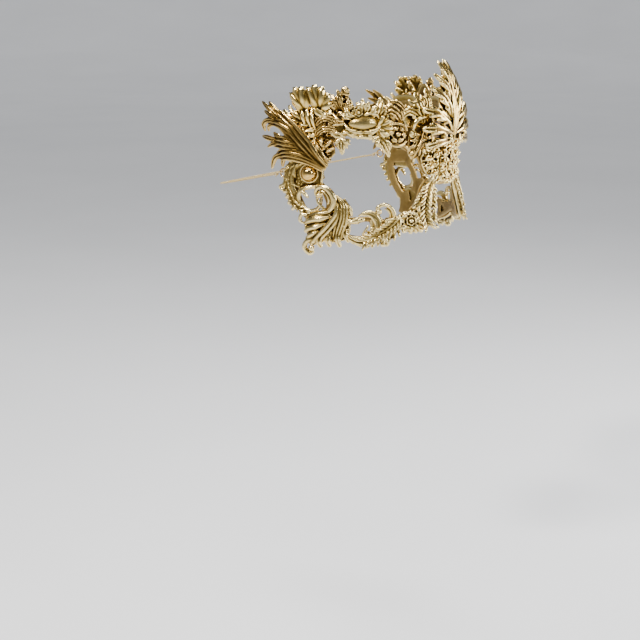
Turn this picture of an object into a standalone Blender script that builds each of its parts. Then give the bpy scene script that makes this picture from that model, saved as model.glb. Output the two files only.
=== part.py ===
"""Baroque half mask: cast leaves, scrolls and rosettes on a light backing, held by an elastic cord.

The face looks along -Y, +Z is up and X = 0 is the middle of the nose. The origin is on the flat
back of the bridge plate, where the mask rests on the bridge of the nose. Every casting is drawn
flat, as (arc from the middle, height) in millimetres, and is then bent round the face.
"""

import math

import bmesh
import bpy
from mathutils import Vector
from mathutils.geometry import intersect_point_line

MM = 0.001

# The face that the castings are bent to
FRONT_RADIUS = 75 * MM       # plan radius over the brow and cheeks
TEMPLE_RADIUS = 110 * MM     # plan radius over the temples and hair
FRONT_ARC = 75 * MM          # arc from the middle where the one radius meets the other
BROW_HEIGHT = 20 * MM        # above this the forehead leans back
BROW_LEAN_RADIUS = 220 * MM
CHEEK_TAPER = 8.2            # per metre squared, how the cheeks draw in below the eyes
NOSE_LIFT = 22 * MM          # how far the nose pushes the lower castings forward
NOSE_SPREAD = 36 * MM
NOSE_DROP = 50 * MM

# Layers, as heights off the face
BACKING = 1.6 * MM
ON_BACKING = 2.0 * MM
ON_BRIDGE = 2.8 * MM
POST_FOOT = 3.6 * MM
ON_PLATE = 4.6 * MM
ON_POST = 9.0 * MM
CREST_LIFT = 3.2 * MM        # how far the crest leaf stands off the face at LIFT_AT from the middle
LIFT_AT = 30 * MM
SWELL_REACH = 4 * MM         # how far in from its edge a casting reaches its full height
BEND_LINES = (10 * MM, 22 * MM)   # spacing of the lines, across and up, where a casting may bend

# Each casting's flat top, off the face, and how much its middle swells above that
HEIGHTS = {
    "brow_band": (BACKING, 0),
    "lower_band": (BACKING, 0),
    "side_plate": (4.2 * MM, 0),
    "cheek_leaf": (4.4 * MM, 3.2 * MM),
    "lower_scroll": (4.2 * MM, 1.4 * MM),
    "spray_leaf": (4.2 * MM, 1.6 * MM),
    "lower_rosette": (4.8 * MM, 3.4 * MM),
    "nose_strip": (4.2 * MM, 1.6 * MM),
    "temple_leaf": (6.4 * MM, 2.2 * MM),
    "temple_flower": (5.2 * MM, 3.0 * MM),
    "brow_scroll": (5.0 * MM, 2.6 * MM),
    "temple_sprig": (5.0 * MM, 1.8 * MM),
    "cartouche": (5.4 * MM, 4.2 * MM),
    "brow_plume": (5.2 * MM, 2.4 * MM),
    "outer_drop": (4.6 * MM, 1.6 * MM),
    "inner_drop": (4.6 * MM, 1.6 * MM),
    "brow_shell": (5.2 * MM, 2.4 * MM),
    "curled_leaf": (5.0 * MM, 2.8 * MM),
    "brow_rosette": (4.6 * MM, 3.4 * MM),
    "bridge_drop": (4.8 * MM, 2.4 * MM),
    "crest_side_leaf": (5.0 * MM, 3.2 * MM),
    "bridge_filigree": (5.4 * MM, 3.0 * MM),
    "bridge_cluster": (6.4 * MM, 3.4 * MM),
    "crest_post": (8.6 * MM, 0),
    "crest_leaf": (11.4 * MM, 2.6 * MM),
}

# The ball and its cup on the side plate
BALL_AT = (118 * MM, 6.5 * MM)
BALL_RADIUS = 6.0 * MM
BALL_FLAT = 3.4 * MM         # from the ball's centre to its flat back
CUP_INNER = 6.4 * MM
CUP_OUTER = 7.4 * MM
CUP_HEIGHT = 3.4 * MM
CUP_HOLE = 7.8 * MM           # the hole in the side plate that the cup stands in

# The tie rings and the elastic
RING_AT = (141.4 * MM, 5.5 * MM)
RING_OFF_FACE = 1.1 * MM
RING_RADIUS = 3.0 * MM
RING_WIRE = 0.6 * MM
LOOP_RADIUS = 2.2 * MM
LOOP_WIRE = 0.55 * MM
KNOT_RADIUS = 1.6 * MM
CORD_RADIUS = 0.75 * MM
STRAP_SLOPE = 0.212          # how much the worn elastic drops for each step back
TOUCH = 0.3 * MM             # gap between pieces that touch

SIDES = {"right": -1, "left": 1}

GOLDS = {
    "antique_gold": ((0.62, 0.43, 0.16), 0.34),
    "bright_gold": ((0.86, 0.68, 0.34), 0.26),
    "champagne_gold": ((0.80, 0.66, 0.38), 0.42),
    "polished_gold": ((0.88, 0.66, 0.28), 0.12),
    "backing_gold": ((0.58, 0.44, 0.20), 0.50),
}


def clear_scene():
    for item in list(bpy.data.objects):
        bpy.data.objects.remove(item, do_unlink=True)


def new_collection(name):
    group = bpy.data.collections.new(name)
    bpy.context.scene.collection.children.link(group)
    return group


def principled(name, color, roughness, metallic):
    material = bpy.data.materials.new(name)
    material.use_nodes = True
    shader = material.node_tree.nodes["Principled BSDF"]
    shader.inputs["Base Color"].default_value = (*color, 1.0)
    shader.inputs["Roughness"].default_value = roughness
    shader.inputs["Metallic"].default_value = metallic
    return material


def make_materials():
    made = {name: principled(name, color, rough, 1.0) for name, (color, rough) in GOLDS.items()}
    made["elastic"] = principled("elastic", (0.78, 0.68, 0.42), 0.7, 0.0)
    return made


def face_surface(arc, height):
    """The point on the face at a signed arc from the middle and a height over the eye line."""
    out = abs(arc)
    if out <= FRONT_ARC:
        turn = out / FRONT_RADIUS
        across = FRONT_RADIUS * math.sin(turn)
        back = FRONT_RADIUS * (1 - math.cos(turn))
    else:
        corner = FRONT_ARC / FRONT_RADIUS
        turn = corner + (out - FRONT_ARC) / TEMPLE_RADIUS
        across = FRONT_RADIUS * math.sin(corner) + TEMPLE_RADIUS * (math.sin(turn) - math.sin(corner))
        back = FRONT_RADIUS * (1 - math.cos(corner)) + TEMPLE_RADIUS * (math.cos(corner) - math.cos(turn))
    above = max(height - BROW_HEIGHT, 0.0)
    below = max(-height, 0.0)
    across *= 1 - CHEEK_TAPER * below ** 2
    back += above ** 2 / (2 * BROW_LEAN_RADIUS)
    back -= NOSE_LIFT * math.exp(-(arc / NOSE_SPREAD) ** 2) * (below / NOSE_DROP) ** 1.5
    return Vector((math.copysign(across, arc), back, height))


def on_face(arc, height, off):
    """The same point, moved off the face along its outward normal."""
    step = 0.2 * MM
    along = face_surface(arc + step, height) - face_surface(arc - step, height)
    up = face_surface(arc, height + step) - face_surface(arc, height - step)
    return face_surface(arc, height) + off * along.cross(up).normalized()


def ring_outline(centre, radius, count=16):
    turns = [2 * math.pi * k / count for k in range(count)]
    return [(centre[0] + radius * math.cos(t), centre[1] + radius * math.sin(t)) for t in turns]


def petal_outline(centre, radius, dip, petals):
    """A round outline with a dip between each two petals."""
    steps = petals * 4
    points = []
    for k in range(steps):
        turn = 2 * math.pi * k / steps
        reach = radius - dip * (0.5 - 0.5 * math.cos(petals * turn))
        points.append((centre[0] + reach * math.cos(turn), centre[1] + reach * math.sin(turn)))
    return points


def edge_distance(point, outline):
    nearest = 1.0
    spot = Vector((point[0], point[1], 0))
    for here, after in zip(outline, outline[1:] + outline[:1]):
        start = Vector((here[0], here[1], 0))
        end = Vector((after[0], after[1], 0))
        foot, share = intersect_point_line(spot, start, end)
        foot = start if share < 0 else end if share > 1 else foot
        nearest = min(nearest, (spot - foot).length)
    return nearest


def flat_mesh(outlines, low, high):
    """A flat plate with its edge on the outlines, the first round it and the rest its holes."""
    curve = bpy.data.curves.new("plate", "CURVE")
    curve.dimensions = "2D"
    curve.fill_mode = "BOTH"
    curve.extrude = (high - low) / 2
    for outline in outlines:
        spline = curve.splines.new("POLY")
        spline.points.add(len(outline) - 1)
        for spot, (across, up) in zip(spline.points, outline):
            spot.co = (across, up, 0, 1)
        spline.use_cyclic_u = True
    guide = bpy.data.objects.new("plate", curve)
    bpy.context.scene.collection.objects.link(guide)
    bpy.context.view_layer.update()
    mesh = bpy.data.meshes.new_from_object(guide.evaluated_get(bpy.context.evaluated_depsgraph_get()))
    bpy.data.objects.remove(guide, do_unlink=True)
    shape = bmesh.new()
    shape.from_mesh(mesh)
    bpy.data.meshes.remove(mesh)
    bmesh.ops.remove_doubles(shape, verts=shape.verts, dist=0.01 * MM)
    bmesh.ops.translate(shape, verts=shape.verts, vec=(0, 0, (low + high) / 2))
    return shape


def cut_bend_lines(shape, spacings):
    """Cuts the plate along evenly spaced lines both ways, so that it bends smoothly."""
    for axis, spacing in enumerate(spacings):
        low = min(v.co[axis] for v in shape.verts)
        high = max(v.co[axis] for v in shape.verts)
        normal = Vector((1, 0, 0)) if axis == 0 else Vector((0, 1, 0))
        line = math.ceil(low / spacing) * spacing
        while line < high:
            geometry = shape.verts[:] + shape.edges[:] + shape.faces[:]
            bmesh.ops.bisect_plane(
                shape, geom=geometry, dist=0.02 * MM, plane_co=normal * line, plane_no=normal,
            )
            line += spacing
    bmesh.ops.remove_doubles(shape, verts=shape.verts, dist=0.05 * MM)


def add_object(name, mesh, material, group):
    item = bpy.data.objects.new(name, mesh)
    item.data.materials.append(material)
    group.objects.link(item)
    return item


def mesh_from(shape, name):
    bmesh.ops.triangulate(shape, faces=shape.faces)
    bmesh.ops.recalc_face_normals(shape, faces=shape.faces)
    mesh = bpy.data.meshes.new(name)
    shape.to_mesh(mesh)
    shape.free()
    mesh.shade_smooth()
    mesh.set_sharp_from_angle(angle=math.radians(35))
    return mesh


def casting(name, kind, side, outline, low, material, group, holes=(), lift=0.0):
    """A plate with a swollen front, drawn flat in millimetres and bent round one side of the face.

    Its top and swell are HEIGHTS[kind], and lift is how far a point LIFT_AT out stands off the face.
    """
    high, crown = HEIGHTS[kind]
    drawn = [[(u * MM, v * MM) for u, v in line] for line in (outline, *holes)]
    shape = flat_mesh(drawn, low, high)
    cut_bend_lines(shape, BEND_LINES)
    middle = (low + high) / 2
    for vert in shape.verts:
        across, up, off = vert.co
        if off > middle and crown:
            edge = min(edge_distance((across, up), line) for line in drawn)
            off += crown * math.sin(min(edge / SWELL_REACH, 1.0) * math.pi / 2)
        off += lift * (across / LIFT_AT) ** 2
        vert.co = on_face(side * across, up, off)
    return add_object(name, mesh_from(shape, name), material, group)


def both_sides(kind, outline, low, material, group, **more):
    for word, side in SIDES.items():
        casting(f"{kind}_{word}", kind, side, outline, low, material, group, **more)


def make_bridge_plate(material, group):
    """A flat plate behind the bridge, which the crest and the two brow bands are glued to."""
    outline = [(-11, -3), (-7, -6), (7, -6), (11, -3), (11, 36), (6, 40), (-6, 40), (-11, 36)]
    shape = flat_mesh([[(x * MM, z * MM) for x, z in outline]], 0, BACKING)
    for vert in shape.verts:
        across, up, off = vert.co
        vert.co = (across, -off, up)
    add_object("bridge_plate", mesh_from(shape, "bridge_plate"), material, group)


def make_brow_bands(material, group):
    outline = [
        (12, 5), (12, 50), (26, 57), (45, 55), (62, 58), (80, 60), (100, 57), (116, 62), (130, 54),
        (130, 32), (119, 20), (107, 20), (102, 28), (92, 35), (80, 37), (66, 34), (54, 30), (43, 23),
        (35, 20), (30, 12), (26, 5), (19, 2),
    ]
    both_sides("brow_band", outline, 0, material, group)


def make_lower_bands(material, group):
    """The thin backing under the side plate, the cheek and lower castings and the nose strip."""
    outline = [
        (109, 19), (129, 18.5), (134.5, 11), (135, 2), (134, -12), (129, -25), (122.5, -38), (119, -50),
        (108, -46.5), (92, -45.5), (78, -46), (66, -44), (54, -41), (43, -37.5), (34, -36), (25.5, -37.5),
        (23.5, -30), (21.5, -18), (16.5, -4), (18.5, 1), (25.5, 4), (30, -3), (33, -10), (40, -17.5),
        (48, -25.5),
        (57, -29), (68, -26), (79, -27), (86, -30.5), (92, -20), (97.5, -9), (103, -5.5), (109, -3.5),
        (109, 4),
    ]
    scroll_hole = [(74, -34.5), (80, -31.5), (87, -33), (88.5, -38.5), (84, -42), (76.5, -40.5)]
    plate_hole = [(113, -5), (119, -5), (124.5, -9), (125.5, -15), (120, -19.5), (113.5, -18.5), (111.5, -12)]
    both_sides("lower_band", outline, 0, material, group, holes=[scroll_hole, plate_hole])


def make_side_plates(material, group):
    """The stippled plate beside the eye, with curled rear edges, an opening and the cup's hole."""
    outline = [
        (109, 17), (119, 18.5), (130, 17), (136, 12), (137, 9.5), (137, 1), (137.5, -3.2), (141, -3.6),
        (143.2, -5.6), (141, -8), (138, -9.5), (136, -12), (134, -18), (130, -25), (122, -27), (114, -25.5),
        (109.5, -21), (107.5, -13), (110, -5), (107.5, 2), (106.5, 10),
    ]
    hole = [(113.5, -6), (118.5, -6), (123.5, -9), (124.5, -14.5), (120, -18.5), (114.5, -17.5), (112, -12)]
    cup_hole = ring_outline([place / MM for place in BALL_AT], CUP_HOLE / MM)
    both_sides("side_plate", outline, ON_BACKING, material, group, holes=[hole, cup_hole])


def make_cheek_leaves(material, group):
    """The large corner acanthus, which starts in a C-scroll and ends in a ball curl."""
    outline = [
        (106, -2.5), (100, -4), (95.5, -9), (91.5, -16), (86.5, -23), (85.5, -28), (91, -31), (93, -38),
        (92.5, -48.5), (98, -47), (103, -47.5), (108, -50), (112.5, -54), (118, -56), (123.5, -53),
        (123, -46), (122, -40), (126, -34), (127, -28.5), (122, -28.2), (113, -27), (108, -22.5),
        (106, -13), (107.5, -6),
    ]
    both_sides("cheek_leaf", outline, ON_BACKING, material, group)


def make_lower_scrolls(material, group):
    """The S-scroll under the eye: a hooked curl, a smooth horn and an opening in its bend."""
    outline = [
        (84.5, -27.5), (78, -24), (72, -22.5), (68.5, -22), (68.5, -18), (66, -15.2), (62, -15),
        (57.5, -17.5), (56, -22), (58, -25), (60, -22.5), (61, -19.5), (64, -19.5), (65, -23),
        (66, -29), (68, -35), (69, -41), (66, -44.5), (64, -49.5), (67, -48.5), (72, -48),
        (80, -48.5), (91, -48), (91.5, -39), (89.5, -32.5),
    ]
    hole = [(75, -34), (80, -32.5), (86, -34), (87.5, -38), (84, -41), (77, -39.5)]
    both_sides("lower_scroll", outline, ON_BACKING, material, group, holes=[hole])


def make_spray_leaves(material, group):
    outline = [
        (63.5, -26.5), (59, -27), (55, -24.5), (52.5, -23.5), (51.3, -28), (51.5, -36), (53, -43),
        (57, -45.5), (62, -48.5), (64.5, -43.5), (67, -41), (66.5, -35.5), (64.5, -30),
    ]
    both_sides("spray_leaf", outline, ON_BACKING, material, group)


def make_lower_rosettes(material, group):
    outline = petal_outline((42.5, -31), 8.2, 1.6, 6)
    both_sides("lower_rosette", outline, ON_BACKING, material, group)


def make_nose_strips(material, group):
    """The leafy strip that runs down beside the nose from the bridge to the lower rosette."""
    outline = [
        (33, -38.5), (28, -41), (24, -39), (22, -33), (21, -25), (19, -16), (16.5, -8), (16, -4),
        (18, -1), (24, 0.5), (28, -1.5), (32, -7), (37, -12), (43, -17), (45, -21), (38, -22),
        (33.5, -26), (32, -31),
    ]
    both_sides("nose_strip", outline, ON_BACKING, material, group)


def make_temple_leaves(material, group):
    """The five-lobed acanthus that sweeps out and up over the hair from above the ball."""
    outline = [
        (104, 15.2), (112, 15.2), (122, 18.5), (131, 19.5), (139, 12), (140, 17), (148, 9), (146, 19),
        (138, 25), (144, 25), (152, 26), (158, 33), (150, 36), (144, 36.5), (139, 34), (145, 40),
        (151, 42), (156, 37), (156, 45), (150, 50), (152, 55), (153, 61), (145, 60), (137, 53),
        (128, 42), (118, 29), (110, 21.5),
    ]
    both_sides("temple_leaf", outline, ON_PLATE, material, group)


def make_temple_flowers(material, group):
    """The ribbon-petalled flower above the temple leaf."""
    outline = [
        (119, 35), (127, 44), (135, 54), (131, 58.5), (124, 66), (117, 72), (111, 68), (103, 69),
        (100, 64), (106, 59), (104.5, 52), (109, 48), (113, 44.5),
    ]
    both_sides("temple_flower", outline, ON_BACKING, material, group)


def make_brow_scrolls(material, group):
    outline = [
        (116.5, 32.5), (112, 43), (106, 49), (98, 51.5), (95, 49), (95, 44), (101, 41.5), (105, 37),
        (110, 33),
    ]
    both_sides("brow_scroll", outline, ON_BACKING, material, group)


def make_temple_sprigs(material, group):
    outline = [
        (115, 30.5), (108, 32), (104, 36), (100, 37.5), (102.5, 31), (100, 26), (103, 21), (105, 17.5),
        (108.5, 22.5), (112, 26.5),
    ]
    both_sides("temple_sprig", outline, ON_BACKING, material, group)


def make_cartouches(material, group):
    """The brow's main casting: a smooth domed belly in a shell frame."""
    outline = [
        (70, 55), (74, 59.5), (79, 58), (84, 58.5), (90, 53), (92, 46), (89, 38.5), (84, 33.5),
        (77, 31.5), (71, 34), (67, 40), (66.5, 48),
    ]
    both_sides("cartouche", outline, ON_BACKING, material, group)


def make_brow_plumes(material, group):
    outline = [(85, 60.5), (80.5, 63.5), (80, 70), (84, 73), (88, 68), (94, 64), (97, 56), (92, 54.5)]
    both_sides("brow_plume", outline, ON_BACKING, material, group)


def make_outer_drops(material, group):
    outline = [
        (94, 48), (93.5, 43), (90.5, 37.5), (86.5, 33), (86.5, 28), (90, 27.5), (93, 20.5),
        (97, 27), (98.5, 32), (99, 36.2), (94.4, 43),
    ]
    both_sides("outer_drop", outline, ON_BACKING, material, group)


def make_inner_drops(material, group):
    outline = [
        (70, 33), (65.5, 38.5), (61.5, 37.5), (59.5, 30), (56, 26.5), (57.5, 18.5), (61, 24), (66.5, 26),
    ]
    both_sides("inner_drop", outline, ON_BACKING, material, group)


def make_brow_shells(material, group):
    """The ruffled shell beside the cartouche, with a feather leaf standing over it."""
    outline = [
        (69, 56.5), (65, 64), (60.5, 64.5), (58, 57.5), (57, 52.5), (54.5, 49), (54, 43), (57, 42),
        (60, 39.5), (65.2, 40), (65, 48),
    ]
    both_sides("brow_shell", outline, ON_BACKING, material, group)


def make_curled_leaves(material, group):
    outline = [(59, 62), (52, 61), (46, 57), (44, 50), (46.5, 45), (52.5, 43.5), (53, 49), (56.5, 54)]
    both_sides("curled_leaf", outline, ON_BACKING, material, group)


def make_brow_rosettes(material, group):
    outline = petal_outline((50.5, 35), 7.0, 1.2, 6)
    both_sides("brow_rosette", outline, ON_BACKING, material, group)


def make_bridge_drops(material, group):
    """The fluted leaf that hangs over the inner corner of the eye."""
    outline = [
        (31, 39), (37, 38.5), (42.5, 37), (42.5, 30), (44, 25), (41, 19), (36, 15.5), (31.5, 19), (31, 29),
    ]
    both_sides("bridge_drop", outline, ON_BACKING, material, group)


def make_crest_side_leaves(material, group):
    outline = [
        (22, 42), (22.5, 56), (21, 66), (25, 71), (29, 63), (36, 68), (36, 59), (45, 57), (41, 50),
        (44, 42.5), (39, 40.5), (33, 41.5), (27, 44),
    ]
    both_sides("crest_side_leaf", outline, ON_BACKING, material, group)


def make_bridge_filigrees(material, group):
    outline = [(12.5, 14), (12.5, 40), (20.5, 41.5), (26, 41), (29.5, 36), (29.5, 19), (27, 9), (20, 8)]
    both_sides("bridge_filigree", outline, ON_BACKING, material, group)


def make_bridge_cluster(material, group):
    """The knobbly cluster of berries on the bridge itself."""
    half = [(5, -5), (10, -3.5), (11.7, 4), (11.5, 20), (8, 25), (4, 27)]
    outline = half + [(-u, v) for u, v in reversed(half)]
    casting("bridge_cluster", "bridge_cluster", 1, outline, ON_BRIDGE, material, group)


def make_crest_leaf(material, group):
    """The tall middle acanthus, flatter than the brow, so that its lobes stand off at the sides."""
    half = [
        (4, 28), (12, 30.5), (20, 26.5), (31, 25), (29, 31), (34, 34), (35, 40), (28, 43), (33, 47),
        (34, 53), (27, 55), (20, 54), (18, 60), (22, 66), (20, 71), (15, 67), (15, 75), (11, 77),
        (8, 74), (7, 82), (5, 86), (2.5, 90),
    ]
    outline = half + [(-u, v) for u, v in reversed(half)]
    casting("crest_leaf", "crest_leaf", 1, outline, ON_POST, material, group, lift=CREST_LIFT)


def make_crest_post(material, group):
    """The lump of casting behind the crest leaf that carries it off the bridge plate."""
    outline = [(-8, 29.5), (8, 29.5), (9.5, 44), (7, 56), (-7, 56), (-9.5, 44)]
    casting("crest_post", "crest_post", 1, outline, POST_FOOT, material, group)


def surface_turn(arc, height, side):
    """The rotation that lays a part's own +Z along the face's outward normal."""
    foot = on_face(side * arc, height, 0)
    return foot, (on_face(side * arc, height, MM) - foot).to_track_quat("Z", "Y").to_matrix().to_4x4()


def place(shape, arc, height, side):
    foot, turn = surface_turn(arc, height, side)
    bmesh.ops.transform(shape, matrix=turn, verts=shape.verts)
    bmesh.ops.translate(shape, verts=shape.verts, vec=foot)


def make_cup(side, word, material, group):
    """A short turned collar on the side plate, round the foot of the ball."""
    profile = [
        (CUP_OUTER, ON_BACKING + CUP_HEIGHT), (CUP_OUTER, ON_BACKING),
        (CUP_INNER, ON_BACKING), (CUP_INNER, ON_BACKING + CUP_HEIGHT),
    ]
    shape = bmesh.new()
    loops = 20
    for k in range(loops):
        turn = 2 * math.pi * k / loops
        for radius, up in profile:
            shape.verts.new((radius * math.cos(turn), radius * math.sin(turn), up))
    shape.verts.ensure_lookup_table()
    size = len(profile)
    for k in range(loops):
        for n in range(size):
            here, beside = k * size + n, k * size + (n + 1) % size
            over = (k + 1) % loops * size
            corners = (here, beside, over + (n + 1) % size, over + n)
            shape.faces.new([shape.verts[c] for c in corners])
    place(shape, *BALL_AT, side)
    add_object(f"ball_cup_{word}", mesh_from(shape, f"ball_cup_{word}"), material, group)


def make_ball(side, word, material, group):
    """A polished ball with a flat back, glued inside the cup."""
    shape = bmesh.new()
    bmesh.ops.create_uvsphere(shape, u_segments=20, v_segments=12, radius=BALL_RADIUS)
    geometry = shape.verts[:] + shape.edges[:] + shape.faces[:]
    cut = bmesh.ops.bisect_plane(
        shape, geom=geometry, plane_co=(0, 0, -BALL_FLAT), plane_no=(0, 0, 1), clear_inner=True,
    )
    rim = [e for e in cut["geom_cut"] if isinstance(e, bmesh.types.BMEdge)]
    bmesh.ops.contextual_create(shape, geom=rim)
    bmesh.ops.translate(shape, verts=shape.verts, vec=(0, 0, ON_BACKING + BALL_FLAT))
    place(shape, *BALL_AT, side)
    add_object(f"ball_{word}", mesh_from(shape, f"ball_{word}"), material, group)


def ring_centre(side):
    return on_face(side * RING_AT[0], RING_AT[1], RING_OFF_FACE)


def torus(name, centre, turn, radius, wire, material, group, segments=20, sides=6):
    bpy.ops.mesh.primitive_torus_add(
        location=centre, rotation=turn, major_radius=radius, minor_radius=wire,
        major_segments=segments, minor_segments=sides,
    )
    item = bpy.context.active_object
    item.name = name
    item.data.name = name
    item.data.materials.append(material)
    for holder in list(item.users_collection):
        holder.objects.unlink(item)
    group.objects.link(item)
    item.data.shade_smooth()
    return item


def make_tie_ring(side, word, material, group):
    turn = (0, math.pi / 2, 0)
    torus(f"tie_ring_{word}", ring_centre(side), turn, RING_RADIUS, RING_WIRE, material, group)


def strap_tilt(reach):
    """How far the worn elastic has dropped at a distance behind the rings."""
    return -STRAP_SLOPE * reach


def make_tie_knot(side, word, material, group, guides):
    """The elastic's end: a small loop through the tie ring, and the knot that closes it."""
    ring = ring_centre(side)
    loop_centre = ring + Vector((0, RING_RADIUS + 0.2 * MM, 0))
    loop = torus(f"tie_knot_{word}", loop_centre, (0, 0, 0), LOOP_RADIUS, LOOP_WIRE, material, group, 16, 6)
    bpy.ops.mesh.primitive_uv_sphere_add(segments=12, ring_count=7, radius=KNOT_RADIUS)
    knot = bpy.context.active_object
    knot.name = f"knot_guide_{word}"
    knot.location = knot_centre(side)
    for holder in list(knot.users_collection):
        holder.objects.unlink(knot)
    guides.objects.link(knot)
    knot.hide_render = True
    knot.display_type = "WIRE"
    join = loop.modifiers.new("knot", "BOOLEAN")
    join.operation = "UNION"
    join.solver = "EXACT"
    join.object = knot


def knot_centre(side):
    reach = RING_RADIUS + 0.2 * MM + LOOP_RADIUS + KNOT_RADIUS * 0.7
    return ring_centre(side) + Vector((0, reach, strap_tilt(reach)))


def cord_route():
    """The worn elastic, from the right knot round the back of the head to the left one."""
    half = [
        (81.6, 106.0, 3.6), (80.9, 118, 1.2), (78.5, 131, -1.6), (73, 147, -5), (64, 162, -8.2),
        (51.8, 176, -11.1), (36.6, 187, -13.5), (19, 194, -15),
    ]
    back = [(0, 196.4, -15.5)]
    right = [(-x, y, z) for x, y, z in half]
    return [Vector(point) * MM for point in right + back + half[::-1]]


def smooth_through(points, step):
    """Points about a step apart on a smooth curve through the given ones."""
    path = [Vector(p) for p in points]
    path = [2 * path[0] - path[1], *path, 2 * path[-1] - path[-2]]
    result = []
    for a, b, c, d in zip(path, path[1:], path[2:], path[3:]):
        pieces = max(1, round((c - b).length / step))
        for k in range(pieces):
            t = k / pieces
            result.append(0.5 * (2 * b + (c - a) * t + (2 * a - 5 * b + 4 * c - d) * t ** 2
                                 + (3 * b - a - 3 * c + d) * t ** 3))
    return result + [path[-2]]


def make_cord(material, group):
    curve = bpy.data.curves.new("elastic_cord", "CURVE")
    curve.dimensions = "3D"
    curve.bevel_depth = CORD_RADIUS
    curve.bevel_resolution = 2
    curve.use_fill_caps = True
    points = smooth_through(cord_route(), 4.4 * MM)
    spline = curve.splines.new("POLY")
    spline.points.add(len(points) - 1)
    for spot, place_at in zip(spline.points, points):
        spot.co = (*place_at, 1)
    curve.materials.append(material)
    group.objects.link(bpy.data.objects.new("elastic_cord", curve))


def main():
    clear_scene()
    group = new_collection("venetian_masquerade_mask")
    guides = new_collection("guides")
    gold = make_materials()
    make_bridge_plate(gold["backing_gold"], group)
    make_brow_bands(gold["backing_gold"], group)
    make_lower_bands(gold["backing_gold"], group)
    for make in (make_side_plates, make_cheek_leaves, make_lower_scrolls, make_spray_leaves,
                 make_lower_rosettes, make_nose_strips):
        make(gold["champagne_gold"], group)
    for make in (make_temple_leaves, make_temple_flowers, make_brow_scrolls, make_temple_sprigs,
                 make_cartouches, make_brow_plumes, make_outer_drops, make_inner_drops,
                 make_brow_shells, make_curled_leaves, make_brow_rosettes, make_bridge_drops):
        make(gold["antique_gold"], group)
    for make in (make_crest_side_leaves, make_bridge_filigrees, make_bridge_cluster, make_crest_leaf,
                 make_crest_post):
        make(gold["bright_gold"], group)
    for word, side in SIDES.items():
        make_cup(side, word, gold["antique_gold"], group)
        make_ball(side, word, gold["polished_gold"], group)
        make_tie_ring(side, word, gold["polished_gold"], group)
        make_tie_knot(side, word, gold["elastic"], group, guides)
    make_cord(gold["elastic"], group)


main()
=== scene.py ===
import math
import bpy
import numpy as np
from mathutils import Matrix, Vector


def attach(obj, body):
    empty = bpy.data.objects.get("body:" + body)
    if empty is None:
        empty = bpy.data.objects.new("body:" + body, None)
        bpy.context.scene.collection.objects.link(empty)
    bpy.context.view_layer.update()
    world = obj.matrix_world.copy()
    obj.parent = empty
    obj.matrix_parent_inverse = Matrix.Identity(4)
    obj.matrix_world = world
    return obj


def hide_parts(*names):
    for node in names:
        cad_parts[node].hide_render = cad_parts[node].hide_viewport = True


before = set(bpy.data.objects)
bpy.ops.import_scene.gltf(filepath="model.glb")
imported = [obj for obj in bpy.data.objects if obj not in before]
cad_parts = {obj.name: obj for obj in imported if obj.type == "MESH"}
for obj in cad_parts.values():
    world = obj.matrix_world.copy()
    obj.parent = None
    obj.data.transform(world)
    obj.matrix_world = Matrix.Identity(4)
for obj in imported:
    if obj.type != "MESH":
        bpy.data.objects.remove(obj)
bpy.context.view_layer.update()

mm = 0.001
sides = {"right": -1, "left": 1}
backing = 1.6  # top of the backings, off the face
castingFoot = 2.0  # where a casting's underside sits
voxel = 0.39  # the grain that each casting is fused at
liftSpan = 30  # distance from the middle at which a casting's lift is whole

# the face that the castings are bent round, in millimetres
face = {"frontRadius": 75, "templeRadius": 110, "frontArc": 75, "browHeight": 20, "browLean": 220,
        "cheekTaper": 8.2e-6, "noseLift": 22, "noseSpread": 36, "noseDrop": 50}


def facePoint(u, v):
    # u is the arc from the middle of the nose, v the height over the eye line
    out = np.abs(u)
    corner = face["frontArc"] / face["frontRadius"]
    near = np.minimum(out, face["frontArc"]) / face["frontRadius"]
    far = corner + np.maximum(out - face["frontArc"], 0) / face["templeRadius"]
    x = face["frontRadius"] * np.sin(near) + face["templeRadius"] * (np.sin(far) - math.sin(corner))
    y = face["frontRadius"] * (1 - np.cos(near)) + face["templeRadius"] * (math.cos(corner) - np.cos(far))
    above = np.maximum(v - face["browHeight"], 0)
    below = np.maximum(-v, 0)
    x = x * (1 - face["cheekTaper"] * below ** 2) * np.sign(u)
    y = y + above ** 2 / (2 * face["browLean"])
    y = y - face["noseLift"] * np.exp(-(u / face["noseSpread"]) ** 2) * (below / face["noseDrop"]) ** 1.5
    return np.stack([x, y, v], -1)


def bendToFace(points, side):
    # flat (u, v, off) in millimetres to the worn place in metres
    u, v, off = points[:, 0] * side, points[:, 1], points[:, 2]
    step = 0.2
    along = facePoint(u + step, v) - facePoint(u - step, v)
    up = facePoint(u, v + step) - facePoint(u, v - step)
    normal = np.cross(along, up)
    normal /= np.linalg.norm(normal, axis=1)[:, None]
    return (facePoint(u, v) + normal * off[:, None]) * mm


# clay is a heap of closed strips, ribs and balls that is later fused into one casting
def newClay():
    return {"points": [], "faces": [], "count": 0}


def addMesh(clay, points, faces):
    base = clay["count"]
    clay["points"].append(np.asarray(points, float))
    clay["faces"] += [[base + k for k in corners] for corners in faces]
    clay["count"] += len(points)


def smoothPath(points, count):
    # a smooth curve through the points, read at even steps
    knots = np.asarray(points, float)
    if knots.ndim == 1:
        knots = knots[:, None]
    if len(knots) == 2:
        knots = np.linspace(knots[0], knots[1], 3)
    ends = np.concatenate([[2 * knots[0] - knots[1]], knots, [2 * knots[-1] - knots[-2]]])
    t = np.linspace(0, len(knots) - 1, count)
    k = np.minimum(t.astype(int), len(knots) - 2)
    f = (t - k)[:, None]
    a, b, c, d = ends[k], ends[k + 1], ends[k + 2], ends[k + 3]
    bend, twist = 2 * a - 5 * b + 4 * c - d, 3 * b - a - 3 * c + d
    return 0.5 * (2 * b + (c - a) * f + bend * f ** 2 + twist * f ** 3)


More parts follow.
